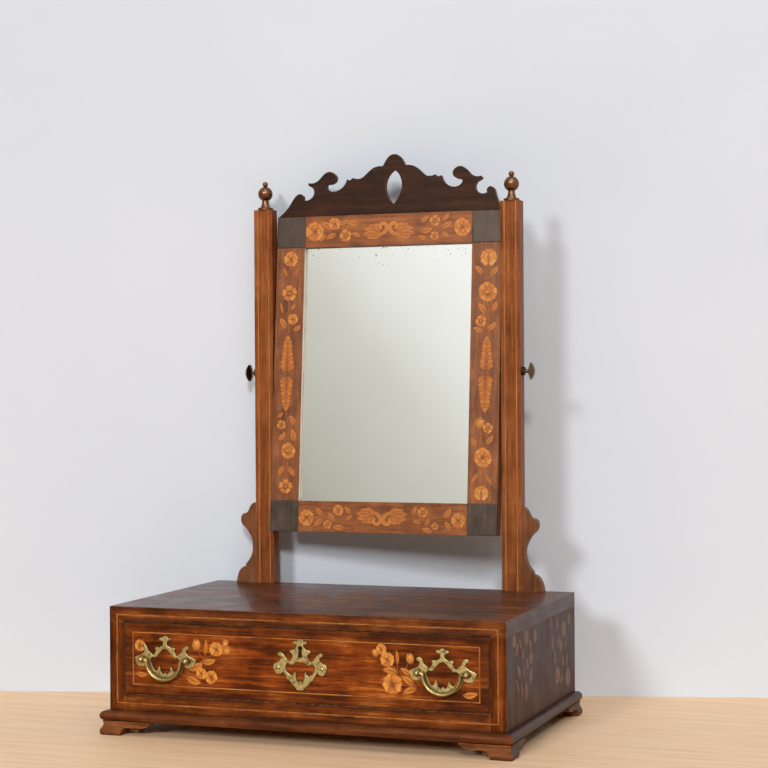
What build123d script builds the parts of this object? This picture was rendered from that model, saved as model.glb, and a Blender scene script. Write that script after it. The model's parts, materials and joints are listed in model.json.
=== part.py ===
from build123d import *
import math
import os

# Dressing table mirror: a one-drawer box on bracket feet, with a framed glass that tilts between two posts.
# Millimetres. X runs to the right, Y to the back, Z up. The origin lies on the table under the box's middle.

# Allowances shared by every piece
OVERRUN = 3.0
RUNNING_FIT = 0.06
WOOD_FIT = 0.1
EDGE_EASE = 0.6

# Box
BOX_W = 440.0
BOX_D = 272.0
BOX_H = 111.0
TOP_T = 15.5
SIDE_T = 17.0
RAIL_H = 18.5
RAIL_D = 22.0
BOTTOM_T = 10.0
BACK_T = 8.0
BACK_REBATE = 8.0
STOP_W = 24.0
STOP_T = 3.0
STOP_H = 12.0
STOP_FROM_SIDE = 45.0
NAIL_R = 1.0
NAIL_L = 18.0
NAIL_HEAD_R = 2.0
NAIL_HEAD_T = 0.8
NAIL_EDGE = 14.0
NAILS_PER_SIDE = 3

# Boxwood stringing
STRING_W = 1.3
STRING_DEPTH = 1.0
BOX_STRING_INSET = 8.0
DRAWER_STRING_SIDE = 9.4
DRAWER_STRING_TOP = 9.8
DRAWER_STRING_BOTTOM = 9.7
POST_STRING_INSET = 4.1

# Plinth
MOULDING_H = 10.5
MOULDING_PROJ = 8.5
MOULDING_SEAT = 12.0
FOOT_H = 15.0
FOOT_IN = 10.0
FOOT_NECK_PROJ = 6.4
FOOT_COVE_PROJ = 5.4
FOOT_BULGE_PROJ = 8.5
FOOT_TOE_PROJ = 7.4
FOOT_COVE_SHARE = 0.8
FOOT_WAIST_SHARE = 0.57
FOOT_BULGE_SHARE = 0.27
TOE_W = 15.4
ARCH_W = 6.0
ARCH_H = 8.5
WING_FLAT = 16.0
WING_TIP = 11.5
BACK_LEG_T = 9.0
BACK_LEG_W = 40.0
GLUE_BLOCK_W = 18.0
GLUE_BLOCK_LIFT = 1.5

# Drawer
DRAWER_FRONT_T = 18.0
DRAWER_SIDE_T = 9.0
DRAWER_SIDE_DROP = 5.2
DRAWER_BACK_T = 9.0
DRAWER_BACK_DROP = 14.2
DRAWER_BOTTOM_T = 6.0
DRAWER_BOTTOM_LIFT = 6.0
DRAWER_GROOVE = 4.0
DRAWER_SIDE_GAP = 0.6
DRAWER_TOP_GAP = 0.8
DRAWER_SILL_GAP = 0.3
TAIL_L = 12.0
TAIL_COUNT = 3
TAIL_FLARE = 1.8
TAIL_SPACE = 9.0

# Lock
LOCK_W = 44.0
LOCK_H = 36.0
LOCK_D = 10.0
LOCK_WALL = 1.5
LOCK_PLATE_W = 60.0
LOCK_PLATE_T = 1.6
LOCK_SCREW_R = 1.3
LOCK_SCREW_L = 9.0
LOCK_SCREW_HEAD_R = 2.3
LOCK_SCREW_HEAD_T = 1.0
LOCK_SCREW_EDGE = 5.0
BOLT_W = 16.0
BOLT_T = 5.0
BOLT_L = 20.0
BOLT_TRAVEL = 6.0
BOLT_GAP = 0.2
BOLT_MORTISE_GAP = 0.6

# Brass mounts on the drawer
HANDLE_FROM_END = 48.4
HANDLE_RISE = 38.0
PLATE_T = 1.6
PLATE_HALF_W = 35.6
PLATE_H = 46.0
STUD_HALF_SPACING = 26.0
STUD_R = 2.0
STUD_BALL_R = 3.4
STUD_COLLAR_R = 4.4
STUD_COLLAR_T = 0.9
BAIL_STANDOFF = 4.8
BAIL_R = 2.0
BAIL_PINTLE_R = 1.4
BAIL_PINTLE_DEPTH = 2.8
BAIL_PINTLE_FIT = 0.2
BAIL_BALL_GAP = 0.4
BAIL_ELBOW_R = 2.6
BAIL_SIDE_R = 14.0
BAIL_DROP = 20.6
NUT_W = 9.0
NUT_T = 3.0
NUT_THREAD = 1.5
ESCUTCHEON_RISE = 36.4
ESCUTCHEON_HALF_W = 29.8
ESCUTCHEON_H = 52.5
KEYHOLE_R = 2.5
KEYHOLE_RISE = 20.2
KEYHOLE_FOOT = 10.8
KEYHOLE_NECK_W = 3.2
KEYHOLE_FOOT_W = 4.4
PIN_X = 24.2
PIN_R = 0.8
PIN_L = 8.0
PIN_HEAD_R = 2.2
PIN_HEAD_H = 1.3

# Posts, side brackets and finials
POST_W = 23.0
POST_T = 15.0
POST_H = 441.0
TENON_W = 15.0
TENON_T = 8.0
TENON_L = 12.0
BRACKET_W = 25.4
BRACKET_H = 95.5
BRACKET_T = 9.0
FINIAL_FLANGE_R = 9.0
FINIAL_FLANGE_H = 2.6
FINIAL_FLARE_R = 6.6
FINIAL_NECK_R = 3.9
FINIAL_NECK_Z = 10.6
FINIAL_BALL_R = 8.6
FINIAL_BALL_Z = 19.3
FINIAL_BEAD_R = 3.3
FINIAL_BEAD_Z = 30.6
FINIAL_BEAD_NECK_R = 2.0
SPIGOT_R = 2.5
SPIGOT_L = 12.0

# Pivot
PIVOT_RISE = 248.5
TILT_DEG = 4.7
SCREW_R = 2.0
COLLAR_R = 4.8
COLLAR_T = 3.0
KNOB_NECK_L = 4.0
KNOB_R = 10.0
KNOB_H = 7.5
KNOB_RIM_SHARE = 0.42
BUSH_R = 4.5
BUSH_L = 15.0
BUSH_FLANGE_R = 7.5
BUSH_FLANGE_GAP = 0.3
SCREW_REACH = 12.0

# Mirror frame and glass
FRAME_W = 277.0
FRAME_UP = 183.8
FRAME_DOWN = 186.5
FRAME_T = 15.0
FRAME_GAP = 1.5
STILE_W = 35.4
RAIL_TOP_H = 36.8
RAIL_FOOT_H = 36.0
REBATE_W = 6.0
LIP_T = 5.5
FRAME_TENON_T = 4.5
FRAME_TENON_L = 22.0
FRAME_TENON_EDGE = 7.0
FRAME_TENON_SETBACK = 2.0
CORNER_T = 3.6
CORNER_SINK = 3.0
CORNER_EASE = 0.5
GLASS_T = 3.6
GLASS_GAP = 0.5
BACKBOARD_T = 4.2
SPRIG_R = 0.7
SPRIG_L = 14.0
SPRIG_SHOW = 6.0
SPRIGS_PER_SIDE = 3
CREST_H = 70.0
CREST_T = 7.0
CREST_SETBACK = 0.8
CREST_SHIFT = 5.8
CREST_BLOCK_W = 26.0
CREST_BLOCK_T = 6.0
CREST_BLOCK_H = 9.0
CREST_BLOCK_X = 96.0

# Half outlines: each run is one smooth curve, each point a share of the piece's half width and of its height
CREST_SHARES = [
    [(0, 1), (0.034, 0.985), (0.068, 0.92), (0.099, 0.807)],
    [(0.099, 0.807), (0.135, 0.811), (0.189, 0.779), (0.242, 0.695), (0.296, 0.618), (0.334, 0.612),
     (0.366, 0.634)],
    [(0.366, 0.634), (0.395, 0.591)],
    [(0.395, 0.591), (0.42, 0.614)],
    [(0.42, 0.614), (0.44, 0.52), (0.48, 0.447), (0.533, 0.413), (0.583, 0.438), (0.606, 0.5), (0.6, 0.548)],
    [(0.6, 0.548), (0.56, 0.551), (0.525, 0.6), (0.521, 0.665), (0.543, 0.725), (0.583, 0.753),
     (0.636, 0.704), (0.679, 0.617), (0.722, 0.572), (0.765, 0.578)],
    [(0.765, 0.578), (0.773, 0.55), (0.749, 0.51)],
    [(0.749, 0.51), (0.717, 0.416), (0.729, 0.34), (0.767, 0.287), (0.822, 0.3)],
]
CREST_SCROLL_SHARES = [(0.822, 0.3), (0.82, 0.355), (0.843, 0.395), (0.873, 0.378)]
CREST_TAIL_SHARES = [(0.25, 0.28), (0.5, 0.156), (0.74, 0.07), (1, 0)]
TEARDROP_SHARES = [[(0, 0.745), (0.045, 0.665), (0.0745, 0.475), (0.048, 0.285), (0, 0.16)]]
BRACKET_SHARES = [
    [(0, 1), (0.14, 0.99), (0.29, 0.945), (0.4, 0.885)],
    [(0.4, 0.885), (0.5, 0.864)],
    [(0.5, 0.864), (0.66, 0.85), (0.756, 0.785), (0.7, 0.73), (0.55, 0.69)],
    [(0.55, 0.69), (0.3, 0.6), (0.165, 0.5), (0.16, 0.43), (0.256, 0.331), (0.488, 0.247)],
    [(0.488, 0.247), (0.535, 0.205)],
    [(0.535, 0.205), (0.76, 0.175), (0.92, 0.1), (1, 0)],
]
PLATE_SHARES = [
    [(0, 0.543), (0.055, 0.533), (0.099, 0.492)],
    [(0.099, 0.492), (0.15, 0.503), (0.2, 0.476), (0.155, 0.446), (0.085, 0.437)],
    [(0.085, 0.437), (0.063, 0.4), (0.073, 0.341), (0.158, 0.291), (0.223, 0.272)],
    [(0.223, 0.272), (0.275, 0.287), (0.325, 0.254), (0.29, 0.222)],
    [(0.29, 0.222), (0.33, 0.15), (0.389, 0.102), (0.47, 0.146), (0.554, 0.2), (0.587, 0.265), (0.636, 0.32),
     (0.72, 0.337), (0.772, 0.298), (0.735, 0.255), (0.677, 0.238)],
    [(0.677, 0.238), (0.71, 0.15), (0.834, 0.089), (0.976, 0.043)],
    [(0.976, 0.043), (1, 0), (0.955, -0.07), (0.925, -0.13), (0.842, -0.167), (0.72, -0.165), (0.61, -0.13)],
    [(0.61, -0.13), (0.587, -0.196), (0.53, -0.287), (0.405, -0.383), (0.2, -0.44), (0, -0.457)],
]
PLATE_PIERCING_SHARES = [
    [(0, 0.25), (0.073, 0.235), (0.158, 0.174), (0.255, 0.091), (0.323, 0.041)],
    [(0.323, 0.041), (0.405, 0.05), (0.478, 0.009), (0.462, -0.08), (0.405, -0.183), (0.348, -0.252),
     (0.288, -0.267)],
    [(0.288, -0.267), (0.235, -0.21), (0.2, -0.141)],
    [(0.2, -0.141), (0.165, -0.2), (0.14, -0.275), (0.073, -0.325), (0, -0.287)],
]
ESCUTCHEON_SHARES = [
    [(0, 0.564), (0.09, 0.55), (0.141, 0.515)],
    [(0.141, 0.515), (0.208, 0.53), (0.268, 0.503), (0.2, 0.472), (0.125, 0.462)],
    [(0.125, 0.462), (0.14, 0.41), (0.24, 0.355)],
    [(0.24, 0.355), (0.317, 0.352), (0.391, 0.324), (0.335, 0.286), (0.275, 0.262)],
    [(0.275, 0.262), (0.31, 0.18), (0.401, 0.121), (0.5, 0.168), (0.599, 0.239), (0.683, 0.286),
     (0.775, 0.305), (0.835, 0.262), (0.77, 0.221), (0.7, 0.21)],
    [(0.7, 0.21), (0.768, 0.129), (0.915, 0.08)],
    [(0.915, 0.08), (1, 0.022), (0.982, -0.041), (0.835, -0.135), (0.72, -0.122), (0.634, -0.074)],
    [(0.634, -0.074), (0.549, -0.155), (0.468, -0.245)],
    [(0.468, -0.245), (0.39, -0.258), (0.317, -0.335)],
    [(0.317, -0.335), (0.23, -0.352), (0.151, -0.407), (0, -0.436)],
]
ESCUTCHEON_PIERCING_SHARES = [
    [(0, 0.106), (0.165, 0.11), (0.3, 0.062), (0.45, 0.08), (0.549, 0.02), (0.535, -0.045), (0.433, -0.114),
     (0.32, -0.16)],
    [(0.32, -0.16), (0.26, -0.13), (0.2, -0.074)],
    [(0.2, -0.074), (0.165, -0.127), (0.15, -0.205), (0.085, -0.27), (0, -0.25)],
]

# Levels and faces that several pieces share
BOX_Z = FOOT_H + MOULDING_H
TOP_Z = BOX_Z + BOX_H
TOP_UNDER_Z = TOP_Z - TOP_T
BAY_Z = BOX_Z + RAIL_H
FRONT_Y = -BOX_D / 2
BACK_Y = BOX_D / 2
BACK_BOARD_Y = BACK_Y - BACK_T
BAY_HALF_W = BOX_W / 2 - SIDE_T
DRAWER_HALF_W = BAY_HALF_W - DRAWER_SIDE_GAP
DRAWER_FRONT_Z = BAY_Z + DRAWER_SILL_GAP
DRAWER_FRONT_TOP = TOP_UNDER_Z - DRAWER_TOP_GAP
DRAWER_INSIDE_Y = FRONT_Y + DRAWER_FRONT_T
DRAWER_END_Y = BACK_BOARD_Y - STOP_T
DRAWER_SIDE_TOP = DRAWER_FRONT_TOP - DRAWER_SIDE_DROP
HANDLE_X = DRAWER_HALF_W - HANDLE_FROM_END
HANDLE_Z = BAY_Z + HANDLE_RISE
ESCUTCHEON_Z = BAY_Z + ESCUTCHEON_RISE
POST_X = FRAME_W / 2 + FRAME_GAP + POST_W / 2
POST_FRONT_Y = BACK_Y - POST_T
PIVOT_Y = BACK_Y - POST_T / 2
PIVOT_Z = TOP_Z + PIVOT_RISE
PLATE_Y = FRONT_Y - PLATE_T
BAIL_Y = PLATE_Y - BAIL_STANDOFF
SIGHT_HALF_W = FRAME_W / 2 - STILE_W
SIGHT_UP = FRAME_UP - RAIL_TOP_H
SIGHT_DOWN = FRAME_DOWN - RAIL_FOOT_H
REBATE_Y = -FRAME_T / 2 + LIP_T
HANDS = (("left", -1), ("right", 1))

pieces = {}


def block(x0, x1, y0, y1, z0, z1):
    """A rectangular board between two corners."""
    middle = ((x0 + x1) / 2, (y0 + y1) / 2, (z0 + z1) / 2)
    return Pos(*middle) * Box(abs(x1 - x0), abs(y1 - y0), abs(z1 - z0))


def rod(radius, start, end):
    """A round bar from one point to another."""
    run = Vector(*end) - Vector(*start)
    return extrude(Plane(origin=start, z_dir=run) * Circle(radius), run.length)


def facing_front(x, y, z):
    """A drawing plane seen from the front: its own X to the right and its own Y up."""
    return Plane(origin=(x, y, z), x_dir=(1, 0, 0), z_dir=(0, -1, 0))


def face_of(*lines):
    """The flat face inside lines that join end to end."""
    return make_face([edge for line in lines for edge in line.edges()])


def turned(*lines):
    """A turned solid: lines of radius and height, spun about Z."""
    return revolve(Plane.XZ * face_of(*lines), Axis.Z)


def plan_prism(points, z0, z1):
    """A prism that stands on an outline drawn in plan."""
    return extrude(Pos(Z=z0) * face_of(Polyline(*points, close=True)), z1 - z0)


def mirrored(piece):
    """The same piece for the other hand."""
    return mirror(piece, about=Plane.YZ)


def group(solids):
    """Separate solids that share one node."""
    return Compound([solid for piece in solids for solid in piece.solids()])


def curve_runs(runs, wide, high):
    """The edges of an outline given as runs of shares."""
    edges = []
    for run in runs:
        points = [(x * wide, y * high) for x, y in run]
        edges.append(Line(*points) if len(points) == 2 else Spline(*points))
    return edges


def symmetric_face(runs, wide, high):
    """A face whose right half is drawn in shares and whose left half mirrors it."""
    half = curve_runs(runs, wide, high)
    other = [edge.mirror(Plane.YZ) for edge in half]
    return face_of(*half, *other)


def string_ring(x0, x1, z0, z1):
    """Four strips of stringing let into the front, with their outer edges on a rectangle."""
    y1 = FRONT_Y + STRING_DEPTH
    return [
        block(x0, x1, FRONT_Y, y1, z1 - STRING_W, z1),
        block(x0, x1, FRONT_Y, y1, z0, z0 + STRING_W),
        block(x0, x0 + STRING_W, FRONT_Y, y1, z0 + STRING_W, z1 - STRING_W),
        block(x1 - STRING_W, x1, FRONT_Y, y1, z0 + STRING_W, z1 - STRING_W),
    ]


# Base moulding: three mitred strips with a half-round nose
def moulding_run(length):
    """A straight run along X with its back on Y zero and its nose towards the front."""
    nose_r = MOULDING_H / 2
    flat = MOULDING_SEAT + MOULDING_PROJ - nose_r
    section = Pos(Y=flat / 2) * Rectangle(MOULDING_H, flat) + Pos(Y=flat) * Circle(nose_r)
    seat = Plane(origin=(-length / 2, 0, FOOT_H + nose_r), x_dir=(0, 0, 1), z_dir=(1, 0, 0))
    return extrude(seat * section, length)


def make_mouldings():
    out_x = BOX_W / 2 + MOULDING_PROJ
    out_y = FRONT_Y - MOULDING_PROJ
    in_x = BOX_W / 2 - MOULDING_SEAT
    in_y = FRONT_Y + MOULDING_SEAT
    front_plan = [(-out_x, out_y), (out_x, out_y), (in_x, in_y), (-in_x, in_y)]
    side_plan = [(out_x, out_y), (out_x, BACK_Y), (in_x, BACK_Y), (in_x, in_y)]
    front_run = Pos(Y=in_y) * moulding_run(out_x * 2)
    side_run = Pos(X=in_x) * Rot(Z=90) * moulding_run((BACK_Y - out_y) * 2)
    pieces["base_moulding_front"] = front_run & plan_prism(front_plan, FOOT_H, BOX_Z)
    right = side_run & plan_prism(side_plan, FOOT_H, BOX_Z)
    pieces["base_moulding_right"] = right
    pieces["base_moulding_left"] = mirrored(right)


# Feet, drawn with the corner of the box at zero, one leg along X and the other along Y
def ogee_leg(mitred):
    """The leg along X: an ogee section cut to the bracket outline, with its show face to the front."""
    arch_x = TOE_W + ARCH_W
    wing_x = arch_x + WING_FLAT
    reach = wing_x + WING_TIP
    far = FOOT_BULGE_PROJ + OVERRUN
    start = -far if mitred else 0
    waist = (-FOOT_NECK_PROJ, FOOT_WAIST_SHARE * FOOT_H)
    neck = (-FOOT_NECK_PROJ, FOOT_H)
    toe = (-FOOT_TOE_PROJ, 0)
    cove = ThreePointArc(neck, (-FOOT_COVE_PROJ, FOOT_COVE_SHARE * FOOT_H), waist)
    bulge = ThreePointArc(waist, (-FOOT_BULGE_PROJ, FOOT_BULGE_SHARE * FOOT_H), toe)
    inside = Polyline(toe, (FOOT_IN, 0), (FOOT_IN, FOOT_H), neck)
    section = Plane(origin=(start, 0, 0), x_dir=(0, 1, 0), z_dir=(1, 0, 0)) * face_of(cove, bulge, inside)
    arch = EllipticalCenterArc((arch_x, 0), ARCH_W, ARCH_H, start_angle=90, arc_size=90)
    tip = EllipticalCenterArc((wing_x, FOOT_H), WING_TIP, FOOT_H - ARCH_H, start_angle=270, arc_size=90)
    flat = Line((arch_x, ARCH_H), (wing_x, ARCH_H))
    rest = Polyline((TOE_W, 0), (start, 0), (start, FOOT_H), (reach, FOOT_H))
    bracket = facing_front(0, FOOT_IN, 0) * face_of(arch, tip, flat, rest)
    leg = extrude(section, reach - start) & extrude(bracket, FOOT_IN + far)
    if not mitred:
        return leg
    return leg & plan_prism([(-far, -far), (reach, -far), (reach, FOOT_IN), (FOOT_IN, FOOT_IN)], 0, FOOT_H)


def make_feet():
    diagonal = Plane(origin=(0, 0, 0), z_dir=(1, -1, 0))
    corner = Pos(-BOX_W / 2, FRONT_Y)
    front_leg = ogee_leg(mitred=True)
    front = corner * (front_leg + mirror(front_leg, about=diagonal))
    side_leg = mirror(ogee_leg(mitred=False), about=diagonal)
    back_leg = block(FOOT_IN, BACK_LEG_W, 0, BACK_LEG_T, 0, FOOT_H)
    back = mirror(corner * (side_leg + back_leg), about=Plane.XZ)
    pieces["foot_front_left"] = front
    pieces["foot_front_right"] = mirrored(front)
    pieces["foot_back_left"] = back
    pieces["foot_back_right"] = mirrored(back)
    x0 = -BOX_W / 2 + FOOT_IN
    x1 = x0 + GLUE_BLOCK_W
    front_y = FRONT_Y + FOOT_IN
    back_y = BACK_Y - BACK_LEG_T
    left = [
        block(x0, x1, front_y, front_y + GLUE_BLOCK_W, GLUE_BLOCK_LIFT, FOOT_H),
        block(x0, x1, back_y, back_y - GLUE_BLOCK_W, GLUE_BLOCK_LIFT, FOOT_H),
    ]
    pieces["foot_glue_blocks"] = group(left + [mirrored(piece) for piece in left])


# Box
def nail_places():
    """Where the back board is nailed to the right side: the X and Z of each nail."""
    x = BAY_HALF_W + BACK_REBATE / 2
    step = (TOP_UNDER_Z - BOX_Z - NAIL_EDGE * 2) / (NAILS_PER_SIDE - 1)
    return [(x, BOX_Z + NAIL_EDGE + i * step) for i in range(NAILS_PER_SIDE)]


def nail(x, z, room):
    """A nail driven forward into the back board, or its hole where room is more than zero."""
    shank = rod(NAIL_R + room, (x, BACK_Y, z), (x, BACK_Y - NAIL_L, z))
    return shank + rod(NAIL_HEAD_R + room, (x, BACK_Y, z), (x, BACK_Y - NAIL_HEAD_T, z))


def post_tenon(sign, room):
    """The tenon under a post, or its mortise where room is more than zero."""
    half_w = TENON_W / 2 + room
    half_t = TENON_T / 2 + room
    x = sign * POST_X
    return block(x - half_w, x + half_w, PIVOT_Y - half_t, PIVOT_Y + half_t, TOP_Z - TENON_L - room, TOP_Z)


def make_box():
    edge = BOX_W / 2 - BOX_STRING_INSET
    strings = string_ring(-edge, edge, BOX_Z + BOX_STRING_INSET, TOP_Z - BOX_STRING_INSET)
    nails = [nail(x * sign, z, 0) for x, z in nail_places() for _, sign in HANDS]
    nail_holes = [nail(x * sign, z, RUNNING_FIT) for x, z in nail_places() for _, sign in HANDS]
    top = block(-BOX_W / 2, BOX_W / 2, FRONT_Y, BACK_Y, TOP_UNDER_Z, TOP_Z)
    top = fillet(top.faces().sort_by(Axis.Z)[-1].edges(), EDGE_EASE)
    top -= [post_tenon(sign, WOOD_FIT) for _, sign in HANDS]
    top -= bolt_block(BOLT_MORTISE_GAP, TOP_UNDER_Z, TOP_UNDER_Z + BOLT_TRAVEL)
    pieces["carcass_top"] = top - strings
    for hand, sign in HANDS:
        side = block(sign * BAY_HALF_W, sign * BOX_W / 2, FRONT_Y, BACK_Y, BOX_Z, TOP_UNDER_Z)
        back_x = sign * (BAY_HALF_W + BACK_REBATE)
        side -= block(sign * BAY_HALF_W, back_x, BACK_BOARD_Y, BACK_Y, BOX_Z, TOP_UNDER_Z)
        pieces["carcass_side_" + hand] = side - strings - nail_holes
    rail = block(-BAY_HALF_W, BAY_HALF_W, FRONT_Y, FRONT_Y + RAIL_D, BOX_Z, BAY_Z)
    pieces["front_rail"] = rail - strings
    bottom_y = FRONT_Y + RAIL_D
    pieces["carcass_bottom"] = block(-BAY_HALF_W, BAY_HALF_W, bottom_y, BACK_BOARD_Y, BAY_Z - BOTTOM_T, BAY_Z)
    back_half = BAY_HALF_W + BACK_REBATE
    back = block(-back_half, back_half, BACK_BOARD_Y, BACK_Y, BOX_Z, TOP_UNDER_Z)
    pieces["carcass_back"] = back - nail_holes
    pieces["back_nails"] = group(nails)
    pieces["carcass_stringing"] = group(strings)
    stop_x = BAY_HALF_W - STOP_FROM_SIDE
    stop = block(stop_x, stop_x - STOP_W, DRAWER_END_Y, BACK_BOARD_Y, BAY_Z, BAY_Z + STOP_H)
    pieces["drawer_stops"] = group([stop, mirrored(stop)])


# Drawer
def dovetails(sign):
    """The tails on the front end of a drawer side."""
    pitch = (DRAWER_SIDE_TOP - BAY_Z) / TAIL_COUNT
    half_root = (pitch - TAIL_SPACE) / 2
    half_tip = half_root + TAIL_FLARE
    tip_y = DRAWER_INSIDE_Y - TAIL_L
    outer_x = sign * DRAWER_HALF_W
    seat = Plane(origin=(outer_x, 0, 0), x_dir=(0, 1, 0), z_dir=(1, 0, 0))
    tails = []
    for i in range(TAIL_COUNT):
        z = BAY_Z + (i + 0.5) * pitch
        corners = [
            (DRAWER_INSIDE_Y, z - half_root),
            (DRAWER_INSIDE_Y, z + half_root),
            (tip_y, z + half_tip),
            (tip_y, z - half_tip),
        ]
        tails.append(extrude(seat * face_of(Polyline(*corners, close=True)), -sign * DRAWER_SIDE_T))
    return tails


def bolt_block(room, z0, z1):
    """The lock bolt's cross section between two heights, grown all round by some room."""
    half_w = BOLT_W / 2 + room
    half_t = BOLT_T / 2 + room
    y = DRAWER_INSIDE_Y - LOCK_D / 2
    return block(-half_w, half_w, y - half_t, y + half_t, z0, z1)


def keyhole(depth):
    """The keyhole as a cutting shape that runs back from the drawer's front face."""
    half_neck = KEYHOLE_NECK_W / 2
    half_foot = KEYHOLE_FOOT_W / 2
    neck = [(-half_neck, KEYHOLE_RISE), (half_neck, KEYHOLE_RISE)]
    foot = [(half_foot, KEYHOLE_FOOT), (-half_foot, KEYHOLE_FOOT)]
    shape = Pos(0, KEYHOLE_RISE) * Circle(KEYHOLE_R) + face_of(Polyline(*neck, *foot, close=True))
    return extrude(facing_front(0, FRONT_Y - PLATE_T - OVERRUN, ESCUTCHEON_Z) * shape, -depth)


def stud_places():
    """The X of every handle stud."""
    return [sign * HANDLE_X + end * STUD_HALF_SPACING for _, sign in HANDS for end in (-1, 1)]


def escutcheon_pin(sign, room):
    """A round-headed pin of the escutcheon, or its hole where room is more than zero."""
    x = sign * PIN_X
    shank = rod(PIN_R + room, (x, PLATE_Y, ESCUTCHEON_Z), (x, PLATE_Y + PIN_L, ESCUTCHEON_Z))
    if room:
        return shank
    dome = turned(
        Line((0, 0), (PIN_HEAD_R, 0)),
        TangentArc((0, PIN_HEAD_H), (PIN_HEAD_R, 0), tangent=(1, 0)),
        Line((0, 0), (0, PIN_HEAD_H)),
    )
    return shank + Pos(x, PLATE_Y, ESCUTCHEON_Z) * Rot(X=90) * dome


def make_drawer():
    inner_half = DRAWER_HALF_W - DRAWER_SIDE_T
    panel_z = BAY_Z + DRAWER_BOTTOM_LIFT
    panel_half = inner_half + DRAWER_GROOVE
    panel_y = DRAWER_INSIDE_Y - DRAWER_GROOVE
    panel = block(-panel_half, panel_half, panel_y, DRAWER_END_Y, panel_z, panel_z + DRAWER_BOTTOM_T)
    pieces["drawer_bottom"] = panel
    string_x = DRAWER_HALF_W - DRAWER_STRING_SIDE
    string_low = DRAWER_FRONT_Z + DRAWER_STRING_BOTTOM
    strings = string_ring(-string_x, string_x, string_low, DRAWER_FRONT_TOP - DRAWER_STRING_TOP)
    pieces["drawer_stringing"] = group(strings)
    front = block(-DRAWER_HALF_W, DRAWER_HALF_W, FRONT_Y, DRAWER_INSIDE_Y, DRAWER_FRONT_Z, DRAWER_FRONT_TOP)
    front -= strings
    front -= panel
    for hand, sign in HANDS:
        tails = dovetails(sign)
        inner_x = sign * inner_half
        outer_x = sign * DRAWER_HALF_W
        side = block(inner_x, outer_x, DRAWER_INSIDE_Y, DRAWER_END_Y, BAY_Z, DRAWER_SIDE_TOP)
        pieces["drawer_side_" + hand] = side + tails - panel
        front -= tails
    back_z = panel_z + DRAWER_BOTTOM_T
    back_y = DRAWER_END_Y - DRAWER_BACK_T
    back_top = DRAWER_FRONT_TOP - DRAWER_BACK_DROP
    pieces["drawer_back"] = block(-inner_half, inner_half, back_y, DRAWER_END_Y, back_z, back_top)
    for x in stud_places():
        front -= rod(STUD_R + WOOD_FIT, (x, FRONT_Y, HANDLE_Z), (x, DRAWER_INSIDE_Y, HANDLE_Z))
    front -= [escutcheon_pin(sign, RUNNING_FIT) for _, sign in HANDS]
    front -= keyhole(DRAWER_FRONT_T + PLATE_T + OVERRUN * 2)
    lock_y = DRAWER_INSIDE_Y - LOCK_D
    lock_z = DRAWER_FRONT_TOP - LOCK_H
    front -= block(-LOCK_W / 2, LOCK_W / 2, lock_y, DRAWER_INSIDE_Y, lock_z, DRAWER_FRONT_TOP)
    pieces["drawer_front"] = front - [lock_screw(x, z, RUNNING_FIT) for x, z in lock_screw_places()]


# Lock
def lock_screw_places():
    """The X and Z of the screws that hold the lock plate."""
    x = LOCK_PLATE_W / 2 - (LOCK_PLATE_W - LOCK_W) / 4
    z0 = DRAWER_FRONT_TOP - LOCK_H + LOCK_SCREW_EDGE
    z1 = DRAWER_FRONT_TOP - LOCK_SCREW_EDGE
    return [(sign * x, z) for _, sign in HANDS for z in (z0, z1)]


def lock_screw(x, z, room):
    """A round-headed lock screw, or its hole where room is more than zero."""
    plate_y = DRAWER_INSIDE_Y + LOCK_PLATE_T
    shank = rod(LOCK_SCREW_R + room, (x, plate_y, z), (x, plate_y - LOCK_SCREW_L, z))
    if room:
        return shank
    return shank + rod(LOCK_SCREW_HEAD_R, (x, plate_y, z), (x, plate_y + LOCK_SCREW_HEAD_T, z))


def make_lock():
    y0 = DRAWER_INSIDE_Y - LOCK_D
    z0 = DRAWER_FRONT_TOP - LOCK_H
    half = LOCK_W / 2
    case = block(-half, half, y0, DRAWER_INSIDE_Y, z0, DRAWER_FRONT_TOP)
    plate_half = LOCK_PLATE_W / 2
    plate_y = DRAWER_INSIDE_Y + LOCK_PLATE_T
    case += block(-plate_half, plate_half, DRAWER_INSIDE_Y, plate_y, z0, DRAWER_FRONT_TOP)
    inside = half - LOCK_WALL
    case -= block(
        -inside, inside, y0 + LOCK_WALL, DRAWER_INSIDE_Y, z0 + LOCK_WALL, DRAWER_FRONT_TOP - LOCK_WALL
    )
    case -= bolt_block(BOLT_GAP, z0 + LOCK_WALL, DRAWER_FRONT_TOP)
    case -= keyhole(PLATE_T + OVERRUN + DRAWER_FRONT_T - LOCK_D / 2)
    pieces["lock_case"] = case - [lock_screw(x, z, RUNNING_FIT) for x, z in lock_screw_places()]
    pieces["lock_bolt"] = bolt_block(0, DRAWER_FRONT_TOP - BOLT_L, DRAWER_FRONT_TOP)
    pieces["lock_screws"] = group(lock_screw(x, z, 0) for x, z in lock_screw_places())


# Brass mounts
def pierced_plate(x, z, outline, piercing, half_w, high):
    """A flat brass plate with a pierced middle, lying on the drawer's front."""
    face = symmetric_face(outline, half_w, high) - symmetric_face(piercing, half_w, high)
    return extrude(facing_front(x, FRONT_Y, z) * face, PLATE_T)


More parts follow.
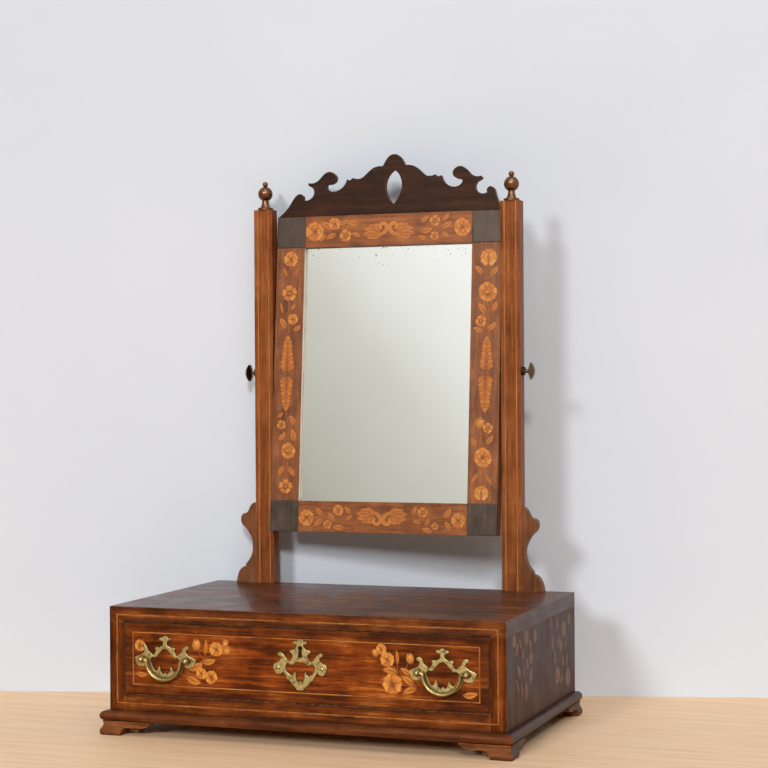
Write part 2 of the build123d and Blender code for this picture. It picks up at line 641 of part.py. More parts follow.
def bail(x):
    """A swinging bail: two pintles, an elbow at each and a round bow below, hung from its studs."""
    elbow_x = STUD_HALF_SPACING - STUD_BALL_R - BAIL_BALL_GAP
    half_w = elbow_x - BAIL_ELBOW_R
    drop = BAIL_DROP - BAIL_ELBOW_R
    side_in = half_w - BAIL_SIDE_R
    bow_r = (side_in**2 + drop**2 - BAIL_SIDE_R**2) / (drop - BAIL_SIDE_R) / 2
    turn = math.degrees(math.atan2(bow_r - drop, side_in))
    elbow = JernArc((elbow_x, 0), (-1, 0), BAIL_ELBOW_R, 90)
    side = JernArc(elbow @ 1, (0, -1), BAIL_SIDE_R, -turn)
    bow = JernArc(side @ 1, side % 1, bow_r, turn - 90)
    half = [elbow, side, bow]
    path = Wire(half + [edge.mirror(Plane.YZ) for edge in half])
    seat = facing_front(x, BAIL_Y, HANDLE_Z)
    start = Plane(origin=(elbow_x, 0, 0), z_dir=(-1, 0, 0))
    bow_rod = seat.location * sweep(start * Circle(BAIL_R), path)
    pintle_end = elbow_x + BAIL_BALL_GAP + BAIL_PINTLE_DEPTH
    for sign in (-1, 1):
        inner = (x + sign * elbow_x, BAIL_Y, HANDLE_Z)
        outer = (x + sign * pintle_end, BAIL_Y, HANDLE_Z)
        bow_rod += rod(BAIL_PINTLE_R, inner, outer)
    return bow_rod


def stud(x, inward):
    """A handle stud: a shank through the drawer front, a collar and a ball drilled for the bail's pintle."""
    inside_y = DRAWER_INSIDE_Y + NUT_T + NUT_THREAD
    piece = rod(STUD_R, (x, inside_y, HANDLE_Z), (x, BAIL_Y, HANDLE_Z))
    piece += rod(STUD_COLLAR_R, (x, PLATE_Y, HANDLE_Z), (x, PLATE_Y - STUD_COLLAR_T, HANDLE_Z))
    piece += Pos(x, BAIL_Y, HANDLE_Z) * Rot(Z=-90) * Sphere(STUD_BALL_R)
    mouth_x = x + inward * STUD_BALL_R
    end_x = mouth_x - inward * (BAIL_PINTLE_DEPTH + BAIL_BALL_GAP)
    hole_r = BAIL_PINTLE_R + BAIL_PINTLE_FIT
    return piece - rod(hole_r, (mouth_x, BAIL_Y, HANDLE_Z), (end_x, BAIL_Y, HANDLE_Z))


def make_mounts():
    nuts = []
    for hand, sign in HANDS:
        middle = sign * HANDLE_X
        plate = pierced_plate(middle, HANDLE_Z, PLATE_SHARES, PLATE_PIERCING_SHARES, PLATE_HALF_W, PLATE_H)
        studs = []
        for end in (-1, 1):
            x = middle + end * STUD_HALF_SPACING
            studs.append(stud(x, -end))
            hole = rod(STUD_R + RUNNING_FIT, (x, DRAWER_INSIDE_Y + NUT_T, HANDLE_Z), (x, PLATE_Y, HANDLE_Z))
            plate -= hole
            half = NUT_W / 2
            nut_y = DRAWER_INSIDE_Y + NUT_T
            nuts.append(
                block(x - half, x + half, DRAWER_INSIDE_Y, nut_y, HANDLE_Z - half, HANDLE_Z + half) - hole
            )
        pieces["handle_plate_" + hand] = plate
        pieces["handle_studs_" + hand] = group(studs)
        pieces["bail_" + hand] = bail(middle)
    pieces["handle_nuts"] = group(nuts)
    escutcheon = pierced_plate(
        0, ESCUTCHEON_Z, ESCUTCHEON_SHARES, ESCUTCHEON_PIERCING_SHARES, ESCUTCHEON_HALF_W, ESCUTCHEON_H
    )
    escutcheon -= keyhole(PLATE_T + OVERRUN * 2)
    pieces["escutcheon"] = escutcheon - [escutcheon_pin(sign, RUNNING_FIT) for _, sign in HANDS]
    pieces["escutcheon_pins"] = group(escutcheon_pin(sign, 0) for _, sign in HANDS)


# Posts, side brackets and finials
def make_posts():
    top_z = TOP_Z + POST_H
    strings = []
    for hand, sign in HANDS:
        x = sign * POST_X
        half = POST_W / 2
        post = block(x - half, x + half, POST_FRONT_Y, BACK_Y, TOP_Z, top_z) + post_tenon(sign, 0)
        for edge in (-1, 1):
            outer = x + edge * (half - POST_STRING_INSET)
            inner = outer - edge * STRING_W
            strings.append(block(outer, inner, POST_FRONT_Y, POST_FRONT_Y + STRING_DEPTH, TOP_Z, top_z))
        post -= strings
        post -= rod(SCREW_R + RUNNING_FIT, (x - half, PIVOT_Y, PIVOT_Z), (x + half, PIVOT_Y, PIVOT_Z))
        post -= rod(SPIGOT_R + RUNNING_FIT, (x, PIVOT_Y, top_z), (x, PIVOT_Y, top_z - SPIGOT_L - WOOD_FIT))
        pieces["post_" + hand] = post
        pieces["finial_" + hand] = Pos(x, PIVOT_Y, top_z) * finial()
    pieces["post_stringing"] = group(strings)
    foot = Polyline((BRACKET_W, 0), (0, 0), (0, BRACKET_H))
    outline = face_of(*curve_runs(BRACKET_SHARES, BRACKET_W, BRACKET_H), foot)
    seat = facing_front(POST_X + POST_W / 2, POST_FRONT_Y + BRACKET_T, TOP_Z)
    right = extrude(seat * outline, BRACKET_T)
    pieces["side_bracket_right"] = right
    pieces["side_bracket_left"] = mirrored(right)


def finial():
    """A turned finial: flange, hollow neck, ball and bead, on a spigot that goes into the post."""
    flare = (FINIAL_FLARE_R, FINIAL_FLANGE_H)
    waist = (FINIAL_NECK_R, FINIAL_NECK_Z)
    foot = Polyline((0, 0), (FINIAL_FLANGE_R, 0), (FINIAL_FLANGE_R, FINIAL_FLANGE_H), flare)
    neck = TangentArc(waist, flare, tangent=(0, -1))
    stem = Polyline(waist, (FINIAL_NECK_R, FINIAL_BALL_Z), (0, FINIAL_BALL_Z), (0, 0))
    piece = turned(foot, neck, stem)
    piece += Pos(Z=FINIAL_BALL_Z) * Sphere(FINIAL_BALL_R)
    piece += rod(FINIAL_BEAD_NECK_R, (0, 0, FINIAL_BALL_Z), (0, 0, FINIAL_BEAD_Z))
    piece += Pos(Z=FINIAL_BEAD_Z) * Sphere(FINIAL_BEAD_R)
    return piece + rod(SPIGOT_R, (0, 0, 0), (0, 0, -SPIGOT_L))


# Pivot screws with their collars
def make_pivots():
    collars = []
    head_z = COLLAR_T + KNOB_NECK_L
    rim_z = head_z + KNOB_RIM_SHARE * KNOB_H
    head_top = head_z + KNOB_H
    head = turned(
        Polyline((0, head_top), (0, head_z), (SCREW_R, head_z), (KNOB_R, rim_z)),
        TangentArc((0, head_top), (KNOB_R, rim_z), tangent=(1, 0)),
    )
    screw_end = -(POST_W + FRAME_GAP + SCREW_REACH)
    knob = head + rod(SCREW_R, (0, 0, screw_end), (0, 0, head_z))
    collar = rod(COLLAR_R, (0, 0, 0), (0, 0, COLLAR_T))
    collar -= rod(SCREW_R + RUNNING_FIT, (0, 0, 0), (0, 0, COLLAR_T))
    for hand, sign in HANDS:
        seat = Pos(sign * (POST_X + POST_W / 2), PIVOT_Y, PIVOT_Z) * Rot(Y=sign * 90)
        pieces["pivot_knob_" + hand] = seat * knob
        collars.append(seat * collar)
    pieces["pivot_collars"] = group(collars)


# Mirror, drawn upright about the pivot and then leaned back
def rail_tenon(sign, z0, z1, room):
    """A rail's tenon into a stile, or its mortise where room is more than zero."""
    y = FRAME_TENON_SETBACK
    half_t = FRAME_TENON_T / 2 + room
    end_x = SIGHT_HALF_W + FRAME_TENON_L + room
    return block(sign * SIGHT_HALF_W, sign * end_x, y - half_t, y + half_t, z0 - room, z1 + room)


def frame_pieces():
    """The stiles, rails and corner blocks, upright with the pivot at the origin."""
    made = {}
    y0 = -FRAME_T / 2
    y1 = FRAME_T / 2
    rebate_x = SIGHT_HALF_W + REBATE_W
    rebate_low = -SIGHT_DOWN - REBATE_W
    rebate_high = SIGHT_UP + REBATE_W
    rebate = block(-rebate_x, rebate_x, REBATE_Y, y1, rebate_low, rebate_high)
    tenon_spans = [
        (rebate_high + FRAME_TENON_EDGE / 2, FRAME_UP - FRAME_TENON_EDGE),
        (-FRAME_DOWN + FRAME_TENON_EDGE, rebate_low - FRAME_TENON_EDGE / 2),
    ]
    rails = {"top": (SIGHT_UP, FRAME_UP), "bottom": (-FRAME_DOWN, -SIGHT_DOWN)}
    for (where, (z0, z1)), span in zip(rails.items(), tenon_spans):
        rail = block(-SIGHT_HALF_W, SIGHT_HALF_W, y0, y1, z0, z1) - rebate
        made["frame_rail_" + where] = rail + [rail_tenon(sign, *span, 0) for _, sign in HANDS]
    for hand, sign in HANDS:
        inner_x = sign * SIGHT_HALF_W
        outer_x = sign * FRAME_W / 2
        stile = block(inner_x, outer_x, y0, y1, -FRAME_DOWN, FRAME_UP) - rebate
        stile -= [rail_tenon(sign, *span, WOOD_FIT) for span in tenon_spans]
        stile -= rod(BUSH_R, (outer_x, 0, 0), (outer_x - sign * BUSH_L, 0, 0))
        for where, (z0, z1) in rails.items():
            stile -= block(inner_x, outer_x, y0, y0 + CORNER_SINK, z0, z1)
            corner = block(inner_x, outer_x, y0 + CORNER_SINK - CORNER_T, y0 + CORNER_SINK, z0, z1)
            corner = chamfer(corner.faces().sort_by(Axis.Y)[0].edges(), CORNER_EASE)
            made["corner_block_" + where + "_" + hand] = corner
        made["frame_stile_" + hand] = stile - sprigs(sign, RUNNING_FIT)
    made["backboard_sprigs"] = group(sprig for _, sign in HANDS for sprig in sprigs(sign, 0))
    return made


def sprigs(sign, room):
    """Headless sprigs driven into a stile behind the backboard, or their holes where there is room."""
    x = SIGHT_HALF_W + REBATE_W
    y = REBATE_Y + GLASS_T + BACKBOARD_T + SPRIG_R
    step = (SIGHT_UP + SIGHT_DOWN) / SPRIGS_PER_SIDE
    places = [-SIGHT_DOWN + (i + 0.5) * step for i in range(SPRIGS_PER_SIDE)]
    start = x if room else x - SPRIG_SHOW
    end = x - SPRIG_SHOW + SPRIG_L
    return [rod(SPRIG_R + room, (sign * start, y, z), (sign * end, y, z)) for z in places]


def bush(sign):
    """A flanged bush in a stile's edge, bored for the pivot screw."""
    x = sign * FRAME_W / 2
    inner = x - sign * BUSH_L
    outer = x + sign * (FRAME_GAP - BUSH_FLANGE_GAP)
    sleeve = rod(BUSH_R - RUNNING_FIT, (inner, 0, 0), (x, 0, 0))
    sleeve += rod(BUSH_FLANGE_R, (x, 0, 0), (outer, 0, 0))
    return sleeve - rod(SCREW_R + RUNNING_FIT, (inner, 0, 0), (outer, 0, 0))


def crest_face():
    """The fret about its own middle: its tails end on the frame's corners, so one is longer."""
    half_w = FRAME_W / 2
    half = curve_runs(CREST_SHARES, half_w, CREST_H)
    other = [edge.mirror(Plane.YZ) for edge in half]
    tails = []
    for _, sign in HANDS:
        scroll = [(sign * x * half_w, y * CREST_H) for x, y in CREST_SCROLL_SHARES]
        root_x = scroll[-1][0]
        reach = sign * half_w - CREST_SHIFT - root_x
        tails.append(Spline(*scroll, *[(root_x + x * reach, y * CREST_H) for x, y in CREST_TAIL_SHARES]))
    face = face_of(*half, *other, *tails, Line(*[tail @ 1 for tail in tails]))
    return face - symmetric_face(TEARDROP_SHARES, half_w, CREST_H)


def make_mirror():
    made = frame_pieces()
    half = SIGHT_HALF_W + REBATE_W - GLASS_GAP
    low = -SIGHT_DOWN - REBATE_W
    high = SIGHT_UP + REBATE_W - GLASS_GAP * 2
    board_y = REBATE_Y + GLASS_T
    made["mirror_glass"] = block(-half, half, REBATE_Y, board_y, low, high)
    made["mirror_backboard"] = block(-half, half, board_y, board_y + BACKBOARD_T, low, high)
    for hand, sign in HANDS:
        made["pivot_bush_" + hand] = bush(sign)
    crest_back = -FRAME_T / 2 + CREST_SETBACK + CREST_T
    made["crest"] = extrude(facing_front(CREST_SHIFT, crest_back, FRAME_UP) * crest_face(), CREST_T)
    half_block = CREST_BLOCK_W / 2
    block_back = crest_back + CREST_BLOCK_T
    made["crest_glue_blocks"] = group(
        block(x - half_block, x + half_block, crest_back, block_back, FRAME_UP, FRAME_UP + CREST_BLOCK_H)
        for x in (-CREST_BLOCK_X, 0, CREST_BLOCK_X)
    )
    lean = Pos(0, PIVOT_Y, PIVOT_Z) * Rot(X=-TILT_DEG)
    for name, piece in made.items():
        pieces[name] = lean * piece


make_mouldings()
make_feet()
make_box()
make_drawer()
make_lock()
make_mounts()
make_posts()
make_pivots()
make_mirror()
os.makedirs("parts", exist_ok=True)
for name, piece in pieces.items():
    export_step(piece, os.path.join("parts", name + ".step"))
print(len(pieces), "nodes written")
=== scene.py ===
# %% [markdown]
# # A dressing table mirror with a drawer base
# A small looking glass swings between two slim posts on a low box with one long drawer. The carcass is
# walnut veneer, the ornament is floral marquetry in paler fruitwood, and the mounts are pierced brass.
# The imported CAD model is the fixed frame: its solids keep their places, and everything here dresses them.

import json
import math

import bpy
import numpy as np
from mathutils import Matrix, Vector

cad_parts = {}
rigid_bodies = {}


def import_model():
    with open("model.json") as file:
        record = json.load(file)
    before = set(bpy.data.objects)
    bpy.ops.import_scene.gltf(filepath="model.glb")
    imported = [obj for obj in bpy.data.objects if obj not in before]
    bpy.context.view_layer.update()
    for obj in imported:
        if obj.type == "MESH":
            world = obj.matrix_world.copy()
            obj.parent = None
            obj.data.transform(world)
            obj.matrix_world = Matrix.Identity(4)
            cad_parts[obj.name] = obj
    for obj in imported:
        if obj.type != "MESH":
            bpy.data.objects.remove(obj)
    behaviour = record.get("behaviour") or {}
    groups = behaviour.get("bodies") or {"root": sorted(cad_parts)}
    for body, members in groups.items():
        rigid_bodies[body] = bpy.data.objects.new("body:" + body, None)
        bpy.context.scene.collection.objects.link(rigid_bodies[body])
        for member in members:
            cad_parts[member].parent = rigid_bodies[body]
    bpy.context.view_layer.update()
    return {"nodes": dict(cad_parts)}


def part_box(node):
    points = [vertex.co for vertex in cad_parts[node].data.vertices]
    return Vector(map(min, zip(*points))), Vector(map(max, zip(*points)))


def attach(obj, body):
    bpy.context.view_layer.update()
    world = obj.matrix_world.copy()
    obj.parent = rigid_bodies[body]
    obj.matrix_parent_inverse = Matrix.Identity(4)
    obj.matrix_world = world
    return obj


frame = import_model()
nodes = frame["nodes"]
scene = bpy.context.scene
scene.view_settings.view_transform = "Standard"
MM = 0.001


# %% [markdown]
# ## The camera
# The photograph was taken with a long lens at about the height of the glass, from twenty degrees to the
# right. A long lens keeps the box's edges almost parallel. The direction is given as an angle round the
# object, which is easier to change than a place in space. The small roll is the photograph's own tilt.

# %% Place the camera
CAMERA_TURN, CAMERA_RISE, CAMERA_ROLL = math.radians(20.023), math.radians(0.144), math.radians(-0.338)
CAMERA_REACH = 2.06563
LENS_MM, SENSOR_MM = 89.098, 36.0
LOOKED_AT = Vector((0.04351, 0, 0.3715))


def way_out(turn, rise):
    """The direction away from the object, so far round it from its front and so far up."""
    return Vector((math.sin(turn) * math.cos(rise), -math.cos(turn) * math.cos(rise), math.sin(rise)))


backward = way_out(CAMERA_TURN, CAMERA_RISE)
level = (-backward).cross(Vector((0, 0, 1))).normalized()
upright = level.cross(-backward)
rightward = level * math.cos(CAMERA_ROLL) + upright * math.sin(CAMERA_ROLL)
upward = upright * math.cos(CAMERA_ROLL) - level * math.sin(CAMERA_ROLL)
turned = Matrix((rightward, upward, backward)).transposed().to_4x4()
camera = bpy.data.objects.new("camera", bpy.data.cameras.new("camera"))
camera.data.lens, camera.data.sensor_width = LENS_MM, SENSOR_MM
camera.matrix_world = Matrix.Translation(LOOKED_AT + backward * CAMERA_REACH) @ turned
scene.collection.objects.link(camera)
scene.camera = camera
print("camera at", [round(x, 3) for x in camera.matrix_world.translation])


# %% [markdown]
# ## Helpers for finishes
# Every finish below is a node tree. These few helpers add a node, set or join its inputs, and hand back
# the socket that is wanted, so that a finish reads as a list of layers and not as wiring.

# %% Node helpers
def srgb(red, green, blue):
    """A colour as it is seen on a screen, 0 to 255, as the linear colour that shaders use."""
    shares = [c / 255 for c in (red, green, blue)]
    return (*[c / 12.92 if c <= 0.04045 else ((c + 0.055) / 1.055) ** 2.4 for c in shares], 1)


def add(tree, kind, inputs=None, **settings):
    """A node with its settings made and its inputs set or joined."""
    made = tree.nodes.new(kind)
    for name, value in settings.items():
        setattr(made, name, value)
    for name, value in (inputs or {}).items():
        if isinstance(value, bpy.types.NodeSocket):
            tree.links.new(value, made.inputs[name])
        else:
            made.inputs[name].default_value = value
    return made


def maths(tree, operation, a, b=0.0):
    return add(tree, "ShaderNodeMath", {0: a, 1: b}, operation=operation).outputs[0]


def summed(tree, first, *others):
    """Values added up, each one times its share."""
    total = maths(tree, "MULTIPLY", *first)
    for value, share in others:
        total = maths(tree, "ADD", total, maths(tree, "MULTIPLY", value, share))
    return total


def vectors(tree, operation, first, second):
    """Vector maths: a dot product gives a number, and the rest give a vector."""
    slot = "Scale" if operation == "SCALE" else 1
    made = add(tree, "ShaderNodeVectorMath", {0: first, slot: second}, operation=operation)
    return made.outputs["Value" if operation == "DOT_PRODUCT" else "Vector"]


print("black is", srgb(0, 0, 0), "and white is", srgb(255, 255, 255))


# %% Blends and patterns
def span(tree, value, low, high, to_low=0.0, to_high=1.0):
    """Value between low and high, smoothly, as to_low to to_high."""
    sizes = {"Value": value, "From Min": low, "From Max": high, "To Min": to_low, "To Max": to_high}
    return add(tree, "ShaderNodeMapRange", sizes, interpolation_type="SMOOTHSTEP").outputs[0]


def blended(tree, share, first, second):
    """First colour where share is 0 and second where it is 1."""
    return add(tree, "ShaderNodeMix", {0: share, 6: first, 7: second}, data_type="RGBA").outputs[2]


def noise(tree, place, scale, seed, detail=3.0, roughness=0.55, output=0):
    """Cloudy noise, as a number or, from output 1, as a colour."""
    sizes = {"Vector": place, "W": seed, "Scale": scale, "Detail": detail, "Roughness": roughness}
    return add(tree, "ShaderNodeTexNoise", sizes, noise_dimensions="4D").outputs[output]


def stretched(tree, place, scale):
    """Places scaled by axis: a small scale draws a pattern out along its axis."""
    return add(tree, "ShaderNodeMapping", {"Vector": place, "Scale": scale}).outputs[0]


def ramp(tree, value, stops):
    """A colour ramp through stops of a place and a colour."""
    made = add(tree, "ShaderNodeValToRGB", {0: value})
    bar = made.color_ramp.elements
    while len(bar) < len(stops):
        bar.new(0.5)
    for element, (place, colour) in zip(bar, stops):
        element.position, element.color = place, colour
    return made.outputs[0]


def new_finish(name):
    """An empty material, its tree, and the place of each point in the object."""
    material = bpy.data.materials.new(name)
    material.use_nodes = True
    tree = material.node_tree
    tree.nodes.clear()
    return material, tree, add(tree, "ShaderNodeTexCoord").outputs["Object"]


def surfaced(tree, kind, inputs):
    """Ends a tree with a shader of a kind."""
    shader = add(tree, kind, inputs).outputs[0]
    add(tree, "ShaderNodeOutputMaterial", {"Surface": shader})


print("helpers ready, with", len(bpy.data.materials), "materials so far")


# %% [markdown]
# ## The room
# The real piece stands on a pale wooden table, almost against a plain pale wall. Two flat planes give
# both, because nothing of the room but its colour and the shadows on it is seen. The wall isn't drawn
# from behind and throws no shadow, so the back of the piece can be seen.

# %% Table and wall
def plane(name, corners, material):
    mesh = bpy.data.meshes.new(name)
    mesh.from_pydata(corners, [], [(0, 1, 2, 3)])
    mesh.materials.append(material)
    made = bpy.data.objects.new(name, mesh)
    scene.collection.objects.link(made)


def table_finish():
    material, tree, place = new_finish("table")
    streaks = noise(tree, stretched(tree, place, (0.08, 1, 1)), 90, 1.0, 4)
    tint = ramp(tree, streaks, [(0.3, srgb(238, 196, 153)), (0.7, srgb(254, 219, 180))])
    surfaced(tree, "ShaderNodeBsdfPrincipled", {"Base Color": tint, "Roughness": 0.6})
    return material


def wall_finish():
    material, tree, place = new_finish("wall")
    clouds = noise(tree, place, 3, 2.0)
    tint = ramp(tree, clouds, [(0.3, srgb(211, 218, 227)), (0.7, srgb(216, 222, 231))])
    paint = add(tree, "ShaderNodeBsdfDiffuse", {"Color": tint}).outputs[0]
    clear = add(tree, "ShaderNodeBsdfTransparent").outputs[0]
    behind = add(tree, "ShaderNodeNewGeometry").outputs["Backfacing"]
    passing = add(tree, "ShaderNodeLightPath").outputs["Is Shadow Ray"]
    let_by = maths(tree, "MAXIMUM", behind, passing)
    surfaced(tree, "ShaderNodeMixShader", {0: let_by, 1: paint, 2: clear})
    return material


ROOM = 6.0
CAMERA_TO_WALL = 2.272
WALL_TURN = math.radians(14.8)
plane("table", [(-ROOM, -ROOM, 0), (ROOM, -ROOM, 0), (ROOM, ROOM, 0), (-ROOM, ROOM, 0)], table_finish())
foot = camera.matrix_world.translation - backward * CAMERA_TO_WALL
along = Vector((math.cos(WALL_TURN), math.sin(WALL_TURN), 0)) * ROOM
left, right = foot - along, foot + along
wall_corners = [(left.x, left.y, 0), (right.x, right.y, 0), (right.x, right.y, ROOM), (left.x, left.y, ROOM)]
plane("wall", wall_corners, wall_finish())
print("wall stands at", [round(x, 3) for x in foot.xy])


# %% [markdown]
# ## The light
# The shadows on the wall tell where the lamps were: one above the camera, one to the left of it, and a
# paler light from the ceiling. Near lamps would light the wall in patches, so the two main ones are suns,
# and their width sets how soft the shadows are. The ceiling is a broad panel.

# %% Lamps
MIDDLE = Vector((0.05, 0.1, 0.3))


def lamp(name, kind, left_of_camera, rise, reach, strength):
    """A lamp that looks at the middle of the piece, from so many degrees to the left of the camera."""
    away = way_out(CAMERA_TURN - math.radians(left_of_camera), math.radians(rise))
    made = bpy.data.objects.new(name, bpy.data.lights.new(name, kind))
    made.data.energy = strength
    made.location = MIDDLE + away * reach
    made.rotation_euler = away.to_track_quat("Z", "Y").to_euler()
    scene.collection.objects.link(made)
    return made.data


left_lamp = lamp("lamp_left", "SUN", left_of_camera=29, rise=19.5, reach=5.0, strength=1.12)
left_lamp.angle = math.radians(8.5)
upper_lamp = lamp("lamp_over_camera", "SUN", left_of_camera=0, rise=26, reach=5.0, strength=1.2)
upper_lamp.angle = math.radians(7.5)
ceiling = lamp("ceiling", "AREA", left_of_camera=-4, rise=60, reach=3.0, strength=23)
ceiling.shape, ceiling.size, ceiling.size_y = "RECTANGLE", 2.0, 1.4


# %% [markdown]
# ## What the glass reflects
# A looking glass shows the room behind the camera, which is bright to the upper right and greyer to the
# lower left. A room could be built there, but a sky whose colour follows the direction gives the same
# soft slope of grey and lights nothing that it shouldn't: only glossy rays see it.

# %% Sky
BRIGHTER_WAY, LEVEL_AHEAD = (2.19, 0, 1.703), 1.1635
world = bpy.data.worlds.new("studio")
scene.world = world
world.use_nodes = True
sky = world.node_tree
sky.nodes.clear()


def glow(colour, strength=1.0):
    return add(sky, "ShaderNodeBackground", {"Color": colour, "Strength": strength}).outputs[0]


outward = add(sky, "ShaderNodeTexCoord").outputs["Generated"]
brightness = maths(sky, "ADD", vectors(sky, "DOT_PRODUCT", outward, BRIGHTER_WAY), LEVEL_AHEAD)
room_tint = ramp(sky, brightness, [
    (0.0, srgb(138, 136, 130)), (0.4, srgb(122, 120, 112)), (0.507, srgb(185, 183, 171)),
    (0.68, srgb(214, 213, 204)), (0.767, srgb(238, 238, 231)), (0.867, srgb(255, 255, 253)),
    (1.0, srgb(240, 240, 236)),
])
rays = add(sky, "ShaderNodeLightPath").outputs
straight = maths(sky, "MAXIMUM", rays["Is Camera Ray"], rays["Is Transmission Ray"])
soft, pale = glow(srgb(232, 236, 242), 0.065), glow(srgb(222, 222, 225))
dome = add(sky, "ShaderNodeMixShader", {0: rays["Is Glossy Ray"], 1: soft, 2: glow(room_tint)}).outputs[0]
dome = add(sky, "ShaderNodeMixShader", {0: straight, 1: dome, 2: pale}).outputs[0]
add(sky, "ShaderNodeOutputWorld", {"Surface": dome})
print("sky of", len(sky.nodes), "nodes")


# %% [markdown]
# ## Wood
# Walnut shows long soft streaks along the grain, a cloudy figure across it, short dark pores and a worn,
# waxed surface. A photograph could be stretched over the boards, but a pattern made from the place of each
# point in the object has no seams and runs the right way on every board.

# %% A layer of wood
X, Y, Z = range(3)


def wood_layer(tree, place, grain, seed, tones, streak=230.0, warp=0.004, cloud=28.0):
    """Colour, roughness and height of a wood whose grain runs along one axis."""
    swirl = vectors(tree, "ADD", noise(tree, place, 13, seed, 2, output=1), (-0.5, -0.5, -0.5))
    bent = vectors(tree, "ADD", place, vectors(tree, "SCALE", swirl, warp))
    long_scale, pore_scale = [1, 1, 1], [1, 1, 1]
    long_scale[grain], pore_scale[grain] = 0.055, 0.035
    drawn = stretched(tree, bent, long_scale)
    streaks = noise(tree, drawn, streak, seed + 1, 5, 0.62)
    fibres = noise(tree, drawn, streak * 6, seed + 2, 2)
    clouds = noise(tree, bent, cloud, seed + 3, 3)
    tint = ramp(tree, summed(tree, (streaks, 0.48), (clouds, 0.36), (fibres, 0.16)), tones)
    pores = noise(tree, stretched(tree, bent, pore_scale), streak * 9, seed + 4, 1)
    pits = span(tree, pores, 0.58, 0.7, 0.0, 0.45)
    tint = blended(tree, pits, tint, (*[c * 0.3 for c in tones[0][1][:3]], 1))
    rough = span(tree, clouds, 0.3, 0.7, 0.3, 0.46)
    height = maths(tree, "SUBTRACT", maths(tree, "MULTIPLY", fibres, 0.35), pits)
    return tint, rough, height


def tones_of(*colours):
    """Stops of a ramp at even steps through the middle, where noise mostly lies."""
    low, high = 0.36, 0.64
    return [(low + (high - low) * i / (len(colours) - 1), srgb(*c)) for i, c in enumerate(colours)]


def chosen(tree, share, first, second):
    """One layer where share is 0 and the other where it is 1."""
    tint = blended(tree, share, first[0], second[0])
    rough, height = [
        add(tree, "ShaderNodeMix", {0: share, 2: a, 3: b}).outputs[0] for a, b in zip(first[1:], second[1:])
    ]
    return tint, rough, height


def faces_towards(tree, axis, sign):
    """1 on faces that look along an axis of the object, and 0 on the others."""
    normal = add(tree, "ShaderNodeTexCoord").outputs["Normal"]
    part = add(tree, "ShaderNodeSeparateXYZ", {0: normal}).outputs[axis]
    return span(tree, maths(tree, "MULTIPLY", part, sign), 0.45, 0.65)


print("grain runs along X, Y or Z:", X, Y, Z)


# %% [markdown]
# ## Polish, wear, dirt and painted shade
# Old wax polish is rubbed through at the corners, and the places where two pieces meet are darkened, partly
# by dirt and partly as painted shade. The wear could be painted by hand, but masks find both on any board: a
# rounded normal differs from the flat one only at an edge, and shut-in places see little of the open air.

# %% Polish
# The darkest colour here goes into shut-in places as dirt and painted shade. The next one goes beside the
# drawer's gap as dirt and painted shade, and along the box's outer edges as dirt.
DIRT_AND_SHADE_TINT, GAP_DIRT_AND_SHADE_TINT, WAX = srgb(24, 14, 9), srgb(28, 15, 8), srgb(255, 232, 208)


def polished(tree, place, layer, worn, seed, wear=0.6, shine=0.14, coat=0.0, edge=1.2, grime_and_shade=0.7, dull=0.0):
    """The finished surface over a layer: rubbed edges, dirt and painted shade in corners, wax and fine
    relief.
    """
    tint, rough, height = layer
    rounded = add(tree, "ShaderNodeBevel", {"Radius": edge * MM}, samples=4).outputs[0]
    facing = add(tree, "ShaderNodeNewGeometry").outputs["Normal"]
    square = vectors(tree, "DOT_PRODUCT", rounded, facing)
    patch = span(tree, noise(tree, place, 160, seed, 4), 0.35, 0.65)
    rubbed = maths(tree, "MULTIPLY", span(tree, square, 0.99, 0.8, 0.0, wear), patch)
    tint = blended(tree, rubbed, tint, worn)
    # Shut-in places are darkened towards the dark tint: partly dirt, partly painted shade.
    shut_in = add(tree, "ShaderNodeAmbientOcclusion", {"Distance": 5 * MM}, samples=4).outputs["AO"]
    uneven = span(tree, patch, 0, 1, 0.6, 1)
    dirt_and_shade = maths(tree, "MULTIPLY", span(tree, shut_in, 0.75, 0.3, 0.0, grime_and_shade), uneven)
    tint = blended(tree, dirt_and_shade, tint, DIRT_AND_SHADE_TINT)
    rough = maths(tree, "ADD", maths(tree, "ADD", rough, dull), maths(tree, "MULTIPLY", rubbed, 0.25))
    relief = add(tree, "ShaderNodeBump", {
        "Height": height, "Distance": 0.06 * MM, "Strength": 0.7, "Normal": rounded}).outputs[0]
    surfaced(tree, "ShaderNodeBsdfPrincipled", {
        "Base Color": tint, "Roughness": rough, "Normal": relief, "Specular IOR Level": shine,
        "Specular Tint": WAX, "Coat Weight": coat, "Coat Roughness": 0.1})


def dirtied_and_shaded(tree, place, layer, dirt_and_shade_mask, seed):
    """A layer darkened in patches where the mask is 1, by dirt and, beside the drawer's gap, painted shade.
    """
    patch = span(tree, noise(tree, place, 85, seed, 4), 0.3, 0.7, 0.6, 1)
    return blended(tree, maths(tree, "MULTIPLY", dirt_and_shade_mask, patch), layer[0], GAP_DIRT_AND_SHADE_TINT), layer[1], layer[2]


def off_rectangle(tree, place, low, high, inset=0.0):
    """Distance outside a rectangle on the front, less than nothing inside it."""
    x, _, z = add(tree, "ShaderNodeSeparateXYZ", {0: place}).outputs
    x = maths(tree, "ABSOLUTE", maths(tree, "SUBTRACT", x, (low.x + high.x) / 2))
    z = maths(tree, "ABSOLUTE", maths(tree, "SUBTRACT", z, (low.z + high.z) / 2))
    across = maths(tree, "SUBTRACT", x, (high.x - low.x) / 2 - inset)
    return maths(tree, "MAXIMUM", across, maths(tree, "SUBTRACT", z, (high.z - low.z) / 2 - inset))


def dress(material, *names):
    """Gives a finish to CAD nodes by name."""
    for name in names:
        nodes[name].data.materials.clear()
        nodes[name].data.materials.append(material)


